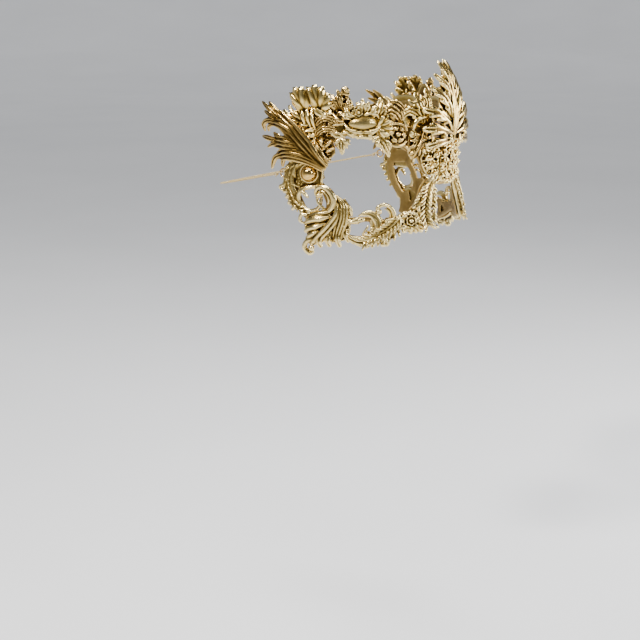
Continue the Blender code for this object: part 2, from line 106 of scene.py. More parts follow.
def smoothValues(values, count):
    if np.isscalar(values):
        return np.full(count, float(values))
    return np.interp(np.linspace(0, len(values) - 1, count), range(len(values)), values)


def stripFrame(path, tilt=0.0):
    # the sideways and upward directions along a path; tilt rolls them, in degrees
    ahead = np.gradient(path, axis=0)
    ahead /= np.maximum(np.linalg.norm(ahead, axis=1), 1e-9)[:, None]
    side = np.stack([ahead[:, 1], -ahead[:, 0], np.zeros(len(path))], 1)
    size = np.linalg.norm(side, axis=1)
    for k in range(len(path)):
        if size[k] < 0.15 and k:
            side[k] = side[k - 1]
        else:
            side[k] /= max(size[k], 1e-9)
    up = np.cross(side, ahead)
    up /= np.maximum(np.linalg.norm(up, axis=1), 1e-9)[:, None]
    turn = math.radians(tilt)
    return side * math.cos(turn) + up * math.sin(turn), up * math.cos(turn) - side * math.sin(turn)


def addTube(clay, path, halfWidth, halfHeight, around=8, tilt=0.0):
    side, up = stripFrame(path, tilt)
    turns = np.linspace(0, 2 * math.pi, around, endpoint=False)
    rings = (path[:, None, :] + side[:, None, :] * (halfWidth[:, None] * np.cos(turns))[:, :, None]
             + up[:, None, :] * (halfHeight[:, None] * np.sin(turns))[:, :, None])
    count = len(path)
    faces = []
    for k in range(count - 1):
        for n in range(around):
            m = (n + 1) % around
            faces.append((k * around + n, k * around + m, (k + 1) * around + m, (k + 1) * around + n))
    faces.append(tuple(range(around))[::-1])
    faces.append(tuple(range((count - 1) * around, count * around)))
    addMesh(clay, rings.reshape(-1, 3), faces)


def stepsFor(points, step=0.7):
    knots = np.asarray(points, float)
    return max(8, int(np.linalg.norm(np.diff(knots, axis=0), axis=1).sum() / step))


def addRib(clay, points, width, flat=0.9, tip=0.45, around=8):
    # one rounded ridge, full at the root and drawn in to a small round tip
    count = stepsFor(points)
    path = smoothPath(points, count)
    half = smoothValues(width, count) / 2
    t = np.linspace(0, 1, count)
    close = np.sqrt(np.clip(1 - (np.clip(t - 0.86, 0, 1) / 0.14) ** 2, 0.04, 1))
    half = np.maximum(half * close, tip * close)
    addTube(clay, path, half, half * flat, around)


def addRibs(clay, points, width, ribs=3, rise=1.0, splay=0.15, stagger=0.22, web=0.5, tilt=0.0, tip=0.45):
    # a leaf lobe: a thin web with a bundle of ribs on it, the outer ones ending sooner
    count = stepsFor(points)
    path = smoothPath(points, count)
    half = smoothValues(width, count) / 2
    side, up = stripFrame(path, tilt)
    t = np.linspace(0, 1, count)
    if web:
        roundEnd = np.sqrt(np.clip(1 - t ** 8, 0.02, 1))
        addTube(clay, path - up * 0.2, half * 0.95 * roundEnd, np.full(count, web) * roundEnd, 10, tilt)
    for k in range(ribs):
        across = (k - (ribs - 1) / 2) / max(ribs / 2, 1)
        stop = max(6, int(count * (1 - stagger * abs(across))))
        t = np.linspace(0, 1, stop)
        lean = half[:stop] * across * (1 + splay * 4 * np.clip(t - 0.6, 0, 1))
        lift = rise * (0.75 - 0.45 * abs(across)) * np.sin(np.pi * np.clip(t * 0.9 + 0.1, 0, 1)) ** 0.5
        rib = path[:stop] + side[:stop] * lean[:, None] + up[:stop] * lift[:, None]
        close = np.clip(1 - np.clip(t - 0.5, 0, 1) ** 2 * 3.6, 0.12, 1)
        size = np.maximum(half[:stop] / ribs * 1.22, tip * 1.3) * close
        addTube(clay, rib, size, size * 0.95, 8, tilt)


def addLeaf(clay, points, width, teeth=3, ridges=3, crown=1.0, groove=0.45, bite=0.3, sweep=0.5, thick=0.8,
            tilt=0.0):
    # a carved leaf: ridges along it, barbs down its edges that point forward, and a dip between barbs
    count = stepsFor(points, 0.45)
    path = smoothPath(points, count)
    half = smoothValues(width, count) / 2
    side, up = stripFrame(path, tilt)
    ahead = np.cross(up, side)
    t = np.linspace(0, 1, count)
    barb = (t * teeth) % 1.0
    reach = half * (1 - bite * (1 - barb)) * np.sqrt(np.clip(1 - np.clip(t - 0.9, 0, 1) * 8, 0.05, 1))
    across = np.linspace(-1, 1, 6 * ridges + 5)
    out = np.abs(across)
    dip = np.exp(-(np.minimum(barb, 1 - barb) / 0.16) ** 2) * min(teeth, 1)
    swell = np.sin(np.pi * np.clip(t * 0.85 + 0.12, 0, 1))
    height = crown * (1 - across ** 2)[None, :] ** 0.6 * swell[:, None]
    furrows = groove * np.cos(2 * math.pi * ridges * (across + 1) / 2)
    height = height - furrows[None, :] * (1 - out ** 6)[None, :]
    height = height - 1.1 * groove * dip[:, None] * (out ** 1.5)[None, :]
    flat = (path[:, None, :] + side[:, None, :] * (reach[:, None] * across)[:, :, None]
            + ahead[:, None, :] * (sweep * half[:, None] * out ** 1.5)[:, :, None])
    top = flat + up[:, None, :] * np.maximum(height, -0.5 * thick)[:, :, None]
    under = flat - up[:, None, :] * thick
    size = len(across)
    points = np.concatenate([top.reshape(-1, 3), under.reshape(-1, 3)])
    low = count * size
    faces = []
    for k in range(count - 1):
        for n in range(size - 1):
            a, b, c, d = k * size + n, k * size + n + 1, (k + 1) * size + n + 1, (k + 1) * size + n
            faces += [(a, b, c, d), (low + d, low + c, low + b, low + a)]
        for n in (0, size - 1):
            a, b = k * size + n, (k + 1) * size + n
            faces.append((a, b, low + b, low + a) if n == 0 else (low + a, low + b, b, a))
    for k in (0, count - 1):
        for n in range(size - 1):
            a, b = k * size + n, k * size + n + 1
            faces.append((low + a, low + b, b, a) if k == 0 else (a, b, low + b, low + a))
    addMesh(clay, points, faces)


def addLobe(clay, points, width, ribs=3, rise=1.0, teeth=None):
    # a leaf whose number of barbs follows its length, one to about 6 mm
    length = np.linalg.norm(np.diff(np.asarray(points, float), axis=0), axis=1).sum()
    width = np.asarray(width, float) * 1.12
    if teeth is None:
        teeth = max(2, round(length / 6))
    addLeaf(clay, points, width, teeth, max(1, min(ribs, 3)), rise, groove=0.5)


def addSheet(clay, outline, low, high):
    # a flat plate of any outline
    line = smoothPath(list(outline) + [outline[0]], len(outline) * 4)[:-1]
    count = len(line)
    rings = [np.column_stack([line, np.full(count, off)]) for off in (low, high)]
    faces = [(n, (n + 1) % count, count + (n + 1) % count, count + n) for n in range(count)]
    faces += [tuple(range(count))[::-1], tuple(range(count, 2 * count))]
    addMesh(clay, np.concatenate(rings), faces)


def addBall(clay, centre, radius, flat=1.0, wide=1.0, turn=0.0, around=12, tall=8):
    # a ball, squashed by flat in height and by wide across, then turned by degrees
    points = [(0, 0, -1)]
    for k in range(1, tall):
        a = math.pi * k / tall
        for n in range(around):
            b = 2 * math.pi * n / around
            points.append((math.sin(a) * math.cos(b), math.sin(a) * math.sin(b), -math.cos(a)))
    points.append((0, 0, 1))
    faces = [(0, 1 + (n + 1) % around, 1 + n) for n in range(around)]
    for k in range(tall - 2):
        low = 1 + k * around
        for n in range(around):
            m = (n + 1) % around
            faces.append((low + n, low + m, low + around + m, low + around + n))
    top, last = len(points) - 1, 1 + (tall - 2) * around
    faces += [(last + n, last + (n + 1) % around, top) for n in range(around)]
    ball = np.array(points) * (radius, radius * wide, radius * flat)
    cos, sin = math.cos(math.radians(turn)), math.sin(math.radians(turn))
    ball = np.stack([ball[:, 0] * cos - ball[:, 1] * sin, ball[:, 0] * sin + ball[:, 1] * cos, ball[:, 2]],
                    1)
    addMesh(clay, np.array(centre) + ball, faces)


def voluteLine(centre, outer, inner, turns, start, way, off=(4, 5), count=40):
    # a spiral from its outer end in to its eye
    t = np.linspace(0, 1, count)
    reach = outer * (inner / outer) ** t
    turn = math.radians(start) + way * t * turns * 2 * math.pi
    return np.stack([centre[0] + reach * np.cos(turn), centre[1] + reach * np.sin(turn),
                     off[0] + (off[1] - off[0]) * t], 1)


def addVolute(clay, centre, outer, inner, turns, start, way, width, off=(4, 5.5), lead=(), eye=None):
    # a scroll: lead-in points, then a spiral with a ball for its eye
    line = voluteLine(centre, outer, inner, turns, start, way, off)
    points = np.concatenate([np.asarray(lead, float), line]) if len(lead) else line
    path = smoothPath(points, max(24, stepsFor(points, 0.6)))
    half = smoothValues(width, len(path)) / 2
    addTube(clay, path, half, half * 0.9, 8)
    size = eye or half[-1] * 1.7
    addBall(clay, (centre[0], centre[1], off[1]), size)


def addPlate(clay, outline, low, high, inset=0.5):
    # a flat plate with a softened edge; the outline is walked once, anticlockwise
    line = smoothPath(list(outline) + [outline[0]], len(outline) * 5)[:-1]
    middle = line.mean(0)
    rings = []
    for off, pull in ((low, inset), (low + 0.35, 0), (high - 0.35, 0), (high, inset)):
        ring = line + (middle - line) / np.linalg.norm(middle - line, axis=1)[:, None] * pull
        rings.append(np.column_stack([ring, np.full(len(ring), off)]))
    count = len(line)
    faces = []
    for k in range(len(rings) - 1):
        for n in range(count):
            m = (n + 1) % count
            faces.append((k * count + n, k * count + m, (k + 1) * count + m, (k + 1) * count + n))
    faces.append(tuple(range(count))[::-1])
    faces.append(tuple(range(3 * count, 4 * count)))
    addMesh(clay, np.concatenate(rings), faces)


def plainMesh(name, points, faces):
    mesh = bpy.data.meshes.new(name)
    mesh.from_pydata([tuple(p) for p in points], [], faces)
    mesh.update()
    return mesh


def evaluated(item):
    bpy.context.view_layer.update()
    graph = bpy.context.evaluated_depsgraph_get()
    return bpy.data.meshes.new_from_object(item.evaluated_get(graph), depsgraph=graph)


def meshArrays(mesh):
    points = np.zeros(len(mesh.vertices) * 3)
    mesh.vertices.foreach_get("co", points)
    faces = [list(p.vertices) for p in mesh.polygons]
    return points.reshape(-1, 3), faces


def fuse(clay, grain):
    # one skin over everything in the clay
    mesh = plainMesh("clay", np.concatenate(clay["points"]), clay["faces"])
    item = bpy.data.objects.new("clay", mesh)
    bpy.context.scene.collection.objects.link(item)
    remesh = item.modifiers.new("fuse", "REMESH")
    remesh.mode = "VOXEL"
    remesh.voxel_size = grain
    fused = evaluated(item)
    bpy.data.objects.remove(item, do_unlink=True)
    points, faces = meshArrays(fused)
    bpy.data.meshes.remove(fused)
    bpy.data.meshes.remove(mesh)
    return points, faces


# how a fused skin is softened, and how its relief is read: spans of smoothing and their weights; the gold
# finishes paint shade into low relief and a highlight onto high relief, and the widest span spreads that
# painted shade over the gaps between lobes
skin = {"softenings": 2, "keep": 0.45, "pull": 0.55, "spans": ((5, 1.2), (20, 0.9), (80, 0.55)),
        "contrast": 0.17}


def meanOfNeighbours(values, edges, degree):
    total = np.zeros_like(values)
    for axis in range(values.shape[1]):
        total[:, axis] = (np.bincount(edges[:, 0], values[edges[:, 1], axis], len(values))
                          + np.bincount(edges[:, 1], values[edges[:, 0], axis], len(values)))
    return total / degree[:, None]


def relax(points, faces, grain):
    # softens the skin and measures how far each spot stands proud of, or lies under, its surroundings; this
    # relief is what the gold finishes turn into painted shade and painted highlight
    quads = np.array([f for f in faces if len(f) == 4])
    edges = np.concatenate([quads[:, [0, 1]], quads[:, [1, 2]], quads[:, [2, 3]], quads[:, [3, 0]]])
    edges = np.unique(np.sort(edges, axis=1), axis=0)
    degree = np.maximum(np.bincount(edges.ravel(), minlength=len(points)), 1)
    for _ in range(skin["softenings"]):
        points = points * skin["keep"] + meanOfNeighbours(points, edges, degree) * skin["pull"]
    normal = np.zeros_like(points)
    cross = np.cross(points[quads[:, 2]] - points[quads[:, 0]], points[quads[:, 3]] - points[quads[:, 1]])
    for corner in range(4):
        for axis in range(3):
            normal[:, axis] += np.bincount(quads[:, corner], cross[:, axis], len(points))
    normal /= np.maximum(np.linalg.norm(normal, axis=1), 1e-9)[:, None]
    smooth, proud = points, 0
    for span, weight in skin["spans"]:
        for _ in range(span):
            smooth = meanOfNeighbours(smooth, edges, degree)
        proud = proud + weight * ((points - smooth) * normal).sum(1) / grain
    return points, np.clip(0.5 + proud * skin["contrast"], 0, 1)


def finishedObject(name, points, faces, finish, nodes, body="mask", relief=None):
    mesh = plainMesh(name, points, faces)
    mesh.shade_smooth()
    if relief is not None:
        # the relief is stored on the skin to paint shade into its hollows and a highlight onto its ridges
        mesh.attributes.new("relief", "FLOAT", "POINT").data.foreach_set("value", relief)
    mesh.materials.append(finish)
    item = bpy.data.objects.new(name, mesh)
    bpy.context.scene.collection.objects.link(item)
    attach(item, body)
    if nodes:
        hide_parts(*nodes)
    return item


def cast(name, clay, finish, grain=voxel, middle=False, lift=0.0):
    # fuses the clay and sets it on the face, once in the middle or once on each side; lift raises what is
    # far from the middle, by the square of its distance
    points, faces = fuse(clay, grain)
    points, relief = relax(points, faces, grain)
    points[:, 2] += lift * (points[:, 0] / liftSpan) ** 2
    flipped = [f[::-1] for f in faces]
    for word, side in ({"": 1} if middle else sides).items():
        full = name if middle else f"{name}_{word}"
        finishedObject(f"{full}_casting", bendToFace(points, side), faces if side > 0 else flipped,
                       finishes[finish], [full], relief=relief)
    print(f"{name}: {len(faces)} faces")


# what repeats is made by Geometry Nodes, in the same flat millimetres as the clay
def newTree(name, inputs):
    tree = bpy.data.node_groups.new(name, "GeometryNodeTree")
    tree.interface.new_socket("Geometry", in_out="INPUT", socket_type="NodeSocketGeometry")
    tree.interface.new_socket("Geometry", in_out="OUTPUT", socket_type="NodeSocketGeometry")
    for label, kind, value in inputs:
        socket = tree.interface.new_socket(label, in_out="INPUT", socket_type=f"NodeSocket{kind}")
        socket.default_value = value
    return tree, addNode(tree, "NodeGroupInput"), addNode(tree, "NodeGroupOutput")


def addNode(tree, kind, inputs=(), **settings):
    # inputs are (socket, value) or (socket, (node, its output)) pairs
    node = tree.nodes.new(kind)
    for key, value in settings.items():
        setattr(node, key, value)
    for socket, value in dict(inputs).items():
        if isinstance(value, tuple) and isinstance(value[0], bpy.types.Node):
            tree.links.new(value[0].outputs[value[1]], node.inputs[socket])
        else:
            node.inputs[socket].default_value = value
    return node


def calculate(tree, operation, *values, kind="ShaderNodeMath"):
    return addNode(tree, kind, dict(enumerate(values)), operation=operation), 0


def finishTree(tree, result, output, finish):
    real = addNode(tree, "GeometryNodeRealizeInstances", {0: result})
    dressed = addNode(tree, "GeometryNodeSetMaterial", {"Geometry": (real, 0), "Material": finish})
    tree.links.new(dressed.outputs[0], output.inputs[0])


def runTree(tree, data, values):
    # the tree's result on this mesh or curve, as a plain mesh
    item = bpy.data.objects.new(tree.name, data)
    bpy.context.scene.collection.objects.link(item)
    modifier = item.modifiers.new(tree.name, "NODES")
    modifier.node_group = tree
    for socket in tree.interface.items_tree:
        if socket.in_out == "INPUT" and socket.name in values:
            modifier[socket.identifier] = values[socket.name]
    result = evaluated(item)
    item.modifiers.remove(modifier)
    bpy.data.objects.remove(item, do_unlink=True)
    return result


def petalRingTree(finish):
    # copies of one petal round a circle
    tree, given, output = newTree("petal ring", (("Petals", "Int", 6), ("Ring", "Float", 2.0),
                                                 ("Size", "Float", 1.0), ("Turn", "Float", 0.0)))
    circle = addNode(tree, "GeometryNodeMeshCircle",
                     {"Vertices": (given, "Petals"), "Radius": (given, "Ring")})
    step = calculate(tree, "DIVIDE", 2 * math.pi, (given, "Petals"))
    index = addNode(tree, "GeometryNodeInputIndex")
    angle = calculate(tree, "MULTIPLY_ADD", (index, 0), step, (given, "Turn"))
    place = calculate(tree, "MULTIPLY", (index, 0), step)
    turned = addNode(tree, "ShaderNodeCombineXYZ", {2: angle})
    spot = addNode(tree, "ShaderNodeCombineXYZ",
                   {0: calculate(tree, "MULTIPLY", calculate(tree, "COSINE", place), (given, "Ring")),
                    1: calculate(tree, "MULTIPLY", calculate(tree, "SINE", place), (given, "Ring"))})
    moved = addNode(tree, "GeometryNodeSetPosition", {"Geometry": (circle, 0), "Position": (spot, 0)})
    size = addNode(tree, "ShaderNodeCombineXYZ",
                   {0: (given, "Size"), 1: (given, "Size"), 2: (given, "Size")})
    copies = addNode(tree, "GeometryNodeInstanceOnPoints", {"Points": (moved, 0), "Instance": (given, 0),
                                                            "Rotation": (turned, 0), "Scale": (size, 0)})
    finishTree(tree, (copies, 0), output, finish)
    return tree


def berryTree(finish):
    # little balls strewn over a patch, each sunk or raised a little
    tree, given, output = newTree("berries",
                                  (("Spacing", "Float", 2.0), ("Small", "Float", 0.7),
                                   ("Large", "Float", 1.3), ("Rise", "Float", 0.8), ("Seed", "Int", 3)))
    spots = addNode(tree, "GeometryNodeDistributePointsOnFaces",
                    {"Mesh": (given, 0), "Distance Min": (given, "Spacing"), "Density Max": 6.0,
                     "Seed": (given, "Seed")}, distribute_method="POISSON")
    size = addNode(tree, "FunctionNodeRandomValue", {2: (given, "Small"), 3: (given, "Large"),
                                                     "Seed": (given, "Seed")}, data_type="FLOAT")
    rise = addNode(tree, "FunctionNodeRandomValue", {2: 0.0, 3: (given, "Rise"), "Seed": 11},
                   data_type="FLOAT")
    lift = addNode(tree, "ShaderNodeCombineXYZ", {2: (rise, 1)})
    raised = addNode(tree, "GeometryNodeSetPosition", {"Geometry": (spots, 0), "Offset": (lift, 0)})
    berry = addNode(tree, "GeometryNodeMeshIcoSphere", {"Radius": 1.0, "Subdivisions": 2})
    grain = addNode(tree, "GeometryNodeTransform", {"Geometry": (berry, 0), "Scale": (1.45, 0.75, 0.9)})
    turn = addNode(tree, "FunctionNodeRandomValue", {2: 0.0, 3: 6.28, "Seed": (given, "Seed")},
                   data_type="FLOAT")
    turned = addNode(tree, "ShaderNodeCombineXYZ", {1: 0.35, 2: (turn, 1)})
    copies = addNode(tree, "GeometryNodeInstanceOnPoints", {"Points": (raised, 0), "Instance": (grain, 0),
                                                            "Rotation": (turned, 0), "Scale": (size, 1)})
    finishTree(tree, (copies, 0), output, finish)
    return tree


def leafletRowTree(finish):
    # pointed leaflets on both sides of a line
    tree, given, output = newTree("leaflet row", (("Leaflets", "Int", 12), ("Length", "Float", 3.0),
                                                  ("Width", "Float", 1.1), ("Spread", "Float", 0.9)))
    line = addNode(tree, "GeometryNodeResampleCurve", {"Curve": (given, 0), "Count": (given, "Leaflets")})
    tangent = addNode(tree, "GeometryNodeInputTangent")
    index = addNode(tree, "GeometryNodeInputIndex")
    odd = calculate(tree, "MODULO", (index, 0), 2.0)
    way = calculate(tree, "MULTIPLY_ADD", odd, 2.0, -1.0)
    spread = calculate(tree, "MULTIPLY", way, (given, "Spread"))
    parts = addNode(tree, "ShaderNodeSeparateXYZ", {0: (tangent, 0)})
    heading = calculate(tree, "ARCTAN2", (parts, 1), (parts, 0))
    turned = addNode(tree, "ShaderNodeCombineXYZ", {1: -0.25, 2: calculate(tree, "ADD", heading, spread)})
    ball = addNode(tree, "GeometryNodeMeshIcoSphere", {"Radius": 1.0, "Subdivisions": 2})
    size = addNode(tree, "ShaderNodeCombineXYZ",
                   {0: (given, "Length"), 1: (given, "Width"), 2: (given, "Width")})
    root = addNode(tree, "ShaderNodeCombineXYZ", {0: (given, "Length")})
    leaflet = addNode(tree, "GeometryNodeTransform", {"Geometry": (ball, 0), "Scale": (size, 0),
                                                      "Translation": (root, 0)})
    vary = addNode(tree, "FunctionNodeRandomValue", {2: 0.75, 3: 1.15, "Seed": 5}, data_type="FLOAT")
    copies = addNode(tree, "GeometryNodeInstanceOnPoints", {"Points": (line, 0), "Instance": (leaflet, 0),
                                                            "Rotation": (turned, 0), "Scale": (vary, 1)})
    finishTree(tree, (copies, 0), output, finish)
    return tree


def braidTree(finish):
    # strands wound both ways round a core, passing over and under each other
    tree, given, output = newTree("braided elastic",
                                  (("Strands", "Int", 8), ("Pitch", "Float", 0.004),
                                   ("Reach", "Float", 0.00052), ("Strand", "Float", 0.0002),
                                   ("Core", "Float", 0.00048), ("Step", "Float", 0.0004)))
    line = addNode(tree, "GeometryNodeResampleCurve", {"Curve": (given, 0), "Length": (given, "Step")},
                   mode="LENGTH")
    many = addNode(tree, "GeometryNodeDuplicateElements",
                   {"Geometry": (line, 0), "Amount": (given, "Strands")}, domain="SPLINE")
    along = calculate(tree, "DIVIDE", (addNode(tree, "GeometryNodeSplineParameter"), "Length"),
                      (given, "Pitch"))
    odd = calculate(tree, "MODULO", (many, "Duplicate Index"), 2.0)
    way = calculate(tree, "MULTIPLY_ADD", odd, 2.0, -1.0)
    share = calculate(tree, "DIVIDE", (many, "Duplicate Index"), (given, "Strands"))
    turns = calculate(tree, "MULTIPLY_ADD", along, way, share)
    angle = calculate(tree, "MULTIPLY", turns, 2 * math.pi)
    weave = calculate(tree, "SINE", calculate(tree, "MULTIPLY", along, 8 * math.pi))
    wave = calculate(tree, "MULTIPLY", calculate(tree, "MULTIPLY", weave, way), 0.12)
    reach = calculate(tree, "MULTIPLY", calculate(tree, "ADD", wave, 1.0), (given, "Reach"))
    normal = addNode(tree, "GeometryNodeInputNormal")
    tangent = addNode(tree, "GeometryNodeInputTangent")
    beside = addNode(tree, "ShaderNodeVectorMath", {0: (normal, 0), 1: (tangent, 0)},
                     operation="CROSS_PRODUCT")
    first = addNode(tree, "ShaderNodeVectorMath",
                    {0: (normal, 0),
                     "Scale": calculate(tree, "MULTIPLY", calculate(tree, "COSINE", angle), reach)},
                    operation="SCALE")
    second = addNode(tree, "ShaderNodeVectorMath",
                     {0: (beside, 0),
                      "Scale": calculate(tree, "MULTIPLY", calculate(tree, "SINE", angle), reach)},
                     operation="SCALE")
    offset = addNode(tree, "ShaderNodeVectorMath", {0: (first, 0), 1: (second, 0)}, operation="ADD")
    wound = addNode(tree, "GeometryNodeSetPosition", {"Geometry": (many, 0), "Offset": (offset, 0)})
    thin = addNode(tree, "GeometryNodeCurvePrimitiveCircle", {"Resolution": 5, "Radius": (given, "Strand")})
    thick = addNode(tree, "GeometryNodeCurvePrimitiveCircle", {"Resolution": 8, "Radius": (given, "Core")})
    strands = addNode(tree, "GeometryNodeCurveToMesh", {"Curve": (wound, 0), "Profile Curve": (thin, 0),
                                                        "Fill Caps": True})
    core = addNode(tree, "GeometryNodeCurveToMesh", {"Curve": (line, 0), "Profile Curve": (thick, 0),
                                                     "Fill Caps": True})
    both = addNode(tree, "GeometryNodeJoinGeometry")
    tree.links.new(strands.outputs[0], both.inputs[0])
    tree.links.new(core.outputs[0], both.inputs[0])
    finishTree(tree, (both, 0), output, finish)
    return tree


def newMaterial(name, roughness, metallic):
    material = bpy.data.materials.new(name)
    material.use_nodes = True
    tree = material.node_tree
    shader = tree.nodes["Principled BSDF"]
    shader.inputs["Roughness"].default_value = roughness
    shader.inputs["Metallic"].default_value = metallic
    return material, tree, shader


def noise(tree, scale, detail=3.0, rough=0.55):
    place = addNode(tree, "ShaderNodeTexCoord")
    return addNode(tree, "ShaderNodeTexNoise",
                   {"Vector": (place, "Object"), "Scale": scale, "Detail": detail, "Roughness": rough}), 0


def ramp(tree, factor, stops):
    node = addNode(tree, "ShaderNodeValToRGB", {0: factor})
    band = node.color_ramp
    while len(band.elements) < len(stops):
        band.elements.new(0.5)
    for element, (place, color) in zip(band.elements, stops):
        element.position = place
        element.color = (*color, 1) if len(color) == 3 else color
    return node, 0


def castGold(name, tones, roughness, bump=0.25, stipple=0.0, patina=0.16, grooves="relief"):
    # cast and gilded: painted shade dark in the grooves and a painted highlight bright on the ridges, both
    # read from the relief, with a faint tooth
    material, tree, shader = newMaterial(name, 0.3, 1.0)
    relief = addNode(tree, "ShaderNodeAttribute", attribute_name=grooves), "Fac"
    cloud = noise(tree, 260.0)
    shift = calculate(tree, "MULTIPLY_ADD", cloud, patina, -patina / 2)
    height = calculate(tree, "ADD", relief, shift)
    # painted shade where the relief is low, painted highlight where it is high
    color = ramp(tree, height, tones)
    tree.links.new(color[0].outputs[0], shader.inputs["Base Color"])
    low, high = roughness
    fine = noise(tree, 1500.0, 2.0)
    rough = addNode(tree, "ShaderNodeMapRange", {0: height, 1: 0.25, 2: 0.75, 3: high, 4: low})
    grit = calculate(tree, "MULTIPLY_ADD", fine, 0.12, -0.06)
    tree.links.new(calculate(tree, "ADD", (rough, 0), grit)[0].outputs[0], shader.inputs["Roughness"])
    tooth = addNode(tree, "ShaderNodeBump", {"Strength": bump, "Distance": 0.0002,
                                             "Height": noise(tree, 2600.0, 3.0)})
    if stipple:
        place = addNode(tree, "ShaderNodeTexCoord")
        cells = addNode(tree, "ShaderNodeTexVoronoi", {"Vector": (place, "Object"), "Scale": 900.0})
        dents = addNode(tree, "ShaderNodeBump",
                        {"Strength": stipple, "Distance": 0.0003, "Height": (cells, 0),
                         "Normal": (tooth, 0)})
        tree.links.new(dents.outputs[0], shader.inputs["Normal"])
    else:
        tree.links.new(tooth.outputs[0], shader.inputs["Normal"])
    return material


# each finish's tones run from near-black painted shade in the grooves up to a painted highlight on the
# ridges
finishes = { "antique": castGold("antique gold",
                                 ((0.28, (0.012, 0.006, 0.001)), (0.47, (0.075, 0.040, 0.007)),
                                  (0.60, (0.22, 0.132, 0.032)), (0.95, (0.70, 0.49, 0.17))), (0.18, 0.42)),
            "bright": castGold("bright gold",
                               ((0.26, (0.020, 0.010, 0.0014)), (0.45, (0.18, 0.105, 0.018)),
                                (0.59, (0.50, 0.335, 0.082)), (0.92, (1.0, 0.78, 0.32))), (0.15, 0.38)),
            "champagne": castGold("champagne gold",
                                  ((0.24, (0.024, 0.012, 0.002)), (0.45, (0.18, 0.112, 0.024)),
                                   (0.60, (0.46, 0.325, 0.098)), (0.92, (0.88, 0.70, 0.31))), (0.2, 0.44),
                                  stipple=0.25),
            "backing": castGold("backing gold",
                                ((0.2, (0.05, 0.027, 0.006)), (0.5, (0.17, 0.105, 0.028)),
                                 (0.8, (0.34, 0.23, 0.075))), (0.4, 0.6), bump=0.6, stipple=0.5), }


def polishedGold():
    material, tree, shader = newMaterial("polished gold", 0.1, 1.0)
    color = ramp(tree, noise(tree, 320.0), ((0.3, (0.58, 0.35, 0.08)), (0.7, (0.82, 0.56, 0.19))))
    tree.links.new(color[0].outputs[0], shader.inputs["Base Color"])
    haze = ramp(tree, noise(tree, 900.0, 4.0), ((0.35, (0.06, 0.06, 0.06)), (0.8, (0.2, 0.2, 0.2))))
    tree.links.new(haze[0].outputs[0], shader.inputs["Roughness"])
    return material


def braidedElastic():
    material, tree, shader = newMaterial("braided elastic", 0.55, 0.0)
    color = ramp(tree, noise(tree, 1400.0, 4.0), ((0.3, (0.30, 0.20, 0.07)), (0.7, (0.62, 0.47, 0.20))))
    tree.links.new(color[0].outputs[0], shader.inputs["Base Color"])
    shader.inputs["Sheen Weight"].default_value = 0.25
    fibres = addNode(tree, "ShaderNodeBump", {"Strength": 0.4, "Distance": 0.0001,
                                              "Height": noise(tree, 5200.0, 2.0)})
    tree.links.new(fibres.outputs[0], shader.inputs["Normal"])
    return material


finishes["polished"] = polishedGold()
finishes["elastic"] = braidedElastic()
print("finishes ready")


studio = {"azimuth": -60, "elevation": 13, "distance": 1.10, "lens": 77.3, "aimRight": 0.0968,
          "aimUp": 0.1152, "floor": -0.36, "spokes": 96,
          # the floor's rings: radius, and height over the middle
          "sweep": [(2, 0), (7, 0), (8.6, 0.2), (9.8, 0.7), (10.6, 1.5), (11, 2.6), (11, 7)],
          # name, place to the right, up and back in the view, size, power and colour
          "lights": [("key", (-0.75, 0.75, 0.9), (0.2, 0.2), 32, (1.0, 0.96, 0.9)),
                     ("side", (1.15, 0.2, -0.25), (0.4, 0.7), 20, (1.0, 0.98, 0.95)),
                     ("fill", (0.8, 0.25, 0.9), (0.2, 0.35), 7, (0.96, 0.98, 1.0)),
                     ("top", (0.1, 1.2, -0.15), (0.45, 0.22), 14, (1, 1, 1))],
          "sun": 1.8, "sunWidth": 40, "sunTurn": (12, -14, 0), "sky": (0.62, 0.64, 0.68), "skyPower": 0.12}


def viewAxes():
    turn, rise = math.radians(studio["azimuth"]), math.radians(studio["elevation"])
    right = Vector((math.cos(turn), math.sin(turn), 0))
    back = Vector((math.sin(turn) * math.cos(rise), -math.cos(turn) * math.cos(rise), math.sin(rise)))
    return right, back.cross(right), back


def makeCamera():
    right, up, back = viewAxes()
    target = -(studio["aimRight"] * right + studio["aimUp"] * up)
    data = bpy.data.cameras.new("camera")
    data.lens = studio["lens"]
    data.sensor_width = 36
    data.clip_start = 0.01
    camera = bpy.data.objects.new("camera", data)
    bpy.context.scene.collection.objects.link(camera)
    camera.location = target + back * studio["distance"]
    camera.rotation_euler = back.to_track_quat("Z", "Y").to_euler()
    bpy.context.scene.camera = camera


def makeFloor():
    # a round floor that sweeps up into a pale wall far behind
    spokes = studio["spokes"]
    rings = [(r, studio["floor"] + rise) for r, rise in studio["sweep"]]
    turns = np.linspace(0, 2 * math.pi, spokes, endpoint=False)
    points = [(r * math.cos(a), r * math.sin(a), z) for r, z in rings for a in turns]
    points.append((0, 0, studio["floor"]))
    faces = [(len(points) - 1, k, (k + 1) % spokes) for k in range(spokes)]
    for ring in range(len(rings) - 1):
        for k in range(spokes):
            a, b = ring * spokes + k, ring * spokes + (k + 1) % spokes
            faces.append((a, a + spokes, b + spokes, b))
    floor = bpy.data.objects.new("floor", plainMesh("floor", points, faces))
    floor.data.polygons.foreach_set("use_smooth", [True] * len(faces))
    material, tree, shader = newMaterial("pale floor", 0.9, 0.0)
    tone = ramp(tree, noise(tree, 1.5), ((0.3, (0.70, 0.71, 0.73)), (0.7, (0.75, 0.76, 0.78))))
    tree.links.new(tone[0].outputs[0], shader.inputs["Base Color"])
    floor.data.materials.append(material)
    bpy.context.scene.collection.objects.link(floor)


